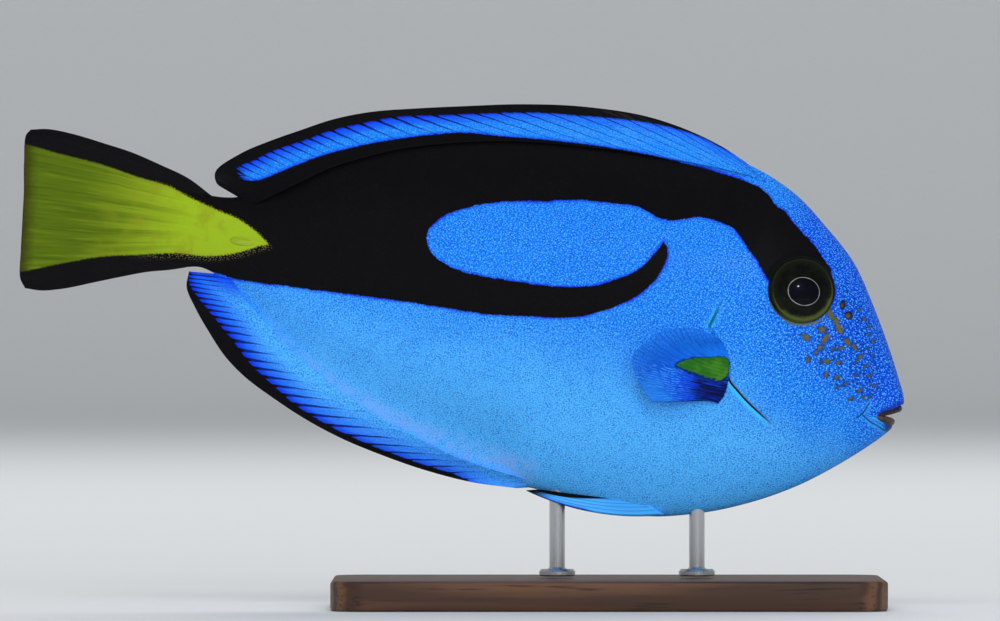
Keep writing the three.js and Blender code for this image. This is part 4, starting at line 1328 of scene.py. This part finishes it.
def make_stand():
    bm = bmesh.new()
    bmesh.ops.create_cube(bm, size=1)
    bmesh.ops.scale(bm, verts=bm.verts, vec=base_size)
    bmesh.ops.translate(bm, verts=bm.verts, vec=(0, 0, base_size[2] / 2))

    def rounded(edges, offset, segments):
        bmesh.ops.bevel(bm, geom=edges, offset=offset, segments=segments, affect="EDGES", profile=0.5,
                        material=-1)

    def rise(edge):
        return abs(edge.verts[0].co.z - edge.verts[1].co.z)

    rounded([edge for edge in bm.edges if rise(edge) > 1], base_corner, 14)
    rounded([edge for edge in bm.edges if rise(edge) < 1e-3 and len(edge.link_faces) == 2
             and abs(edge.calc_face_angle(0)) > 1], base_bevel, 4)
    mesh = to_mesh(bm, "stand_base_board")
    finished("stand_base_board", mesh, stand_in_place, wood_finish(), "base_wood", "stand_base")
    mesh.set_sharp_from_angle(angle=crisp_angle)
    steel = steel_finish()
    foot = base_size[2] + rod_gap
    for name, (x, z) in rod_meets.items():
        meet = in_place @ Matrix.Translation((x, 0, z)).to_translation()
        top = meet.z / mm + rod_rise
        profile = [(0, foot), (collar_radius - 0.25, foot), (collar_radius, foot + 0.25),
                   (collar_radius, foot + collar_height - 0.35), (collar_radius - 0.35, foot + collar_height),
                   (rod_radius + 0.3, foot + collar_height), (rod_radius, foot + collar_height + 0.3),
                   (rod_radius, top), (0, top)]
        mesh = to_mesh(turned(profile, rod_facets), f"{name}_bar")
        shift = stand_in_place @ Matrix.Translation((meet.x / mm, 0, 0))
        finished(f"{name}_bar", mesh, shift, steel, "rod_steel", name)
        mesh.set_sharp_from_angle(angle=crisp_angle)


# Studio: round pale floor that turns up into a wall, soft light, and the camera on the fish's right

floor_radius = 4.0
floor_bend = 1.2
wall_height = 0.9
air_colour = (0.93, 0.97, 1.0, 1)
air_strength = 0.38
# Each light: azimuth it comes from, measured from the camera's side, height, distance, width, power,
# and whether it shows in glossy surfaces
soft_lights = {
    "key_light": (-24, 40, 2.4, 1.2, 9, False),
    "front_light": (8, 3, 2.0, 1.3, 24, False),
    "back_light": (176, 50, 2.4, 1.2, 17, False),
    "catch_light": (13, 21, 2.0, 0.11, 3.4, True),
}
# Soft suns that light the far walls, and how far each leans from straight down
suns = {"wall_light_front": 55, "wall_light_back": -55}
sun_strength = 0.6
sun_spread = math.radians(20)


def make_studio():
    paper = Finish("pale_floor", Specular_IOR_Level=0.1)
    grain = paper.noise(3.0, 2)
    paper.colour = paper.mix(grain, (0.70, 0.71, 0.72), (0.72, 0.73, 0.74))
    profile = [(0.0, 0.0), (floor_radius * 0.5, 0.0), (floor_radius, 0.0)]
    profile += [(floor_radius + floor_bend * math.sin(a), floor_bend * (1 - math.cos(a)))
                for a in np.linspace(0, math.pi / 2, 12)[1:]]
    profile.append((floor_radius + floor_bend, floor_bend + wall_height))
    bm = turned(profile, 96)
    bmesh.ops.remove_doubles(bm, verts=bm.verts, dist=1e-4)
    bmesh.ops.recalc_face_normals(bm, faces=bm.faces)
    bmesh.ops.reverse_faces(bm, faces=bm.faces)
    floor = smooth_object("studio_floor", as_mesh(bm, "studio_floor"), paper.done(0.9, grain, 0.02, 0.2))
    world = bpy.data.worlds.new("studio_air")
    world.use_nodes = True
    air = world.node_tree.nodes["Background"].inputs
    air["Color"].default_value = air_colour
    air["Strength"].default_value = air_strength
    bpy.context.scene.world = world
    for name, (azimuth, height, distance, width, power, seen) in soft_lights.items():
        softbox = bpy.data.lights.new(name, "AREA")
        softbox.shape = "DISK"
        softbox.size = width
        softbox.energy = power
        lamp = linked(name, softbox)
        lamp.matrix_world = (
            Matrix.Translation((0, 0, swim_height * mm))
            @ Matrix.Rotation(math.radians(azimuth), 4, "Z")
            @ Matrix.Rotation(math.radians(90 - height), 4, "X")
            @ Matrix.Translation((0, 0, distance))
        )
        lamp.visible_glossy = seen
        lamp.visible_camera = False
    for name, lean in suns.items():
        sun = bpy.data.lights.new(name, "SUN")
        sun.energy = sun_strength
        sun.angle = sun_spread
        lamp = linked(name, sun)
        lamp.rotation_euler = (math.radians(lean), 0, 0)
        lamp.visible_glossy = False


# The photo: its size, the pixel of the fish's zero point and its scale
photo_size = (1000, 621)
fish_pixel = (530, 320)
pixels_per_mm = 6


def make_camera():
    distance = 2.0
    data = bpy.data.cameras.new("photo_camera")
    data.sensor_width = 36
    data.lens = data.sensor_width * distance / (photo_size[0] / pixels_per_mm * mm)
    data.clip_start = 0.01
    data.clip_end = 50
    camera = linked("photo_camera", data)
    across = (photo_size[0] / 2 - fish_pixel[0]) / pixels_per_mm
    up = (fish_pixel[1] - photo_size[1] / 2) / pixels_per_mm
    camera.location = ((across + fish_shift) * mm, -distance, (up + swim_height) * mm)
    camera.rotation_euler = (math.pi / 2, 0, 0)
    bpy.context.scene.camera = camera


make_skin()
make_fins()
make_eyes()
make_lips()
make_spines()
make_stand()
make_studio()
make_camera()
bpy.context.scene.view_settings.view_transform = "Standard"
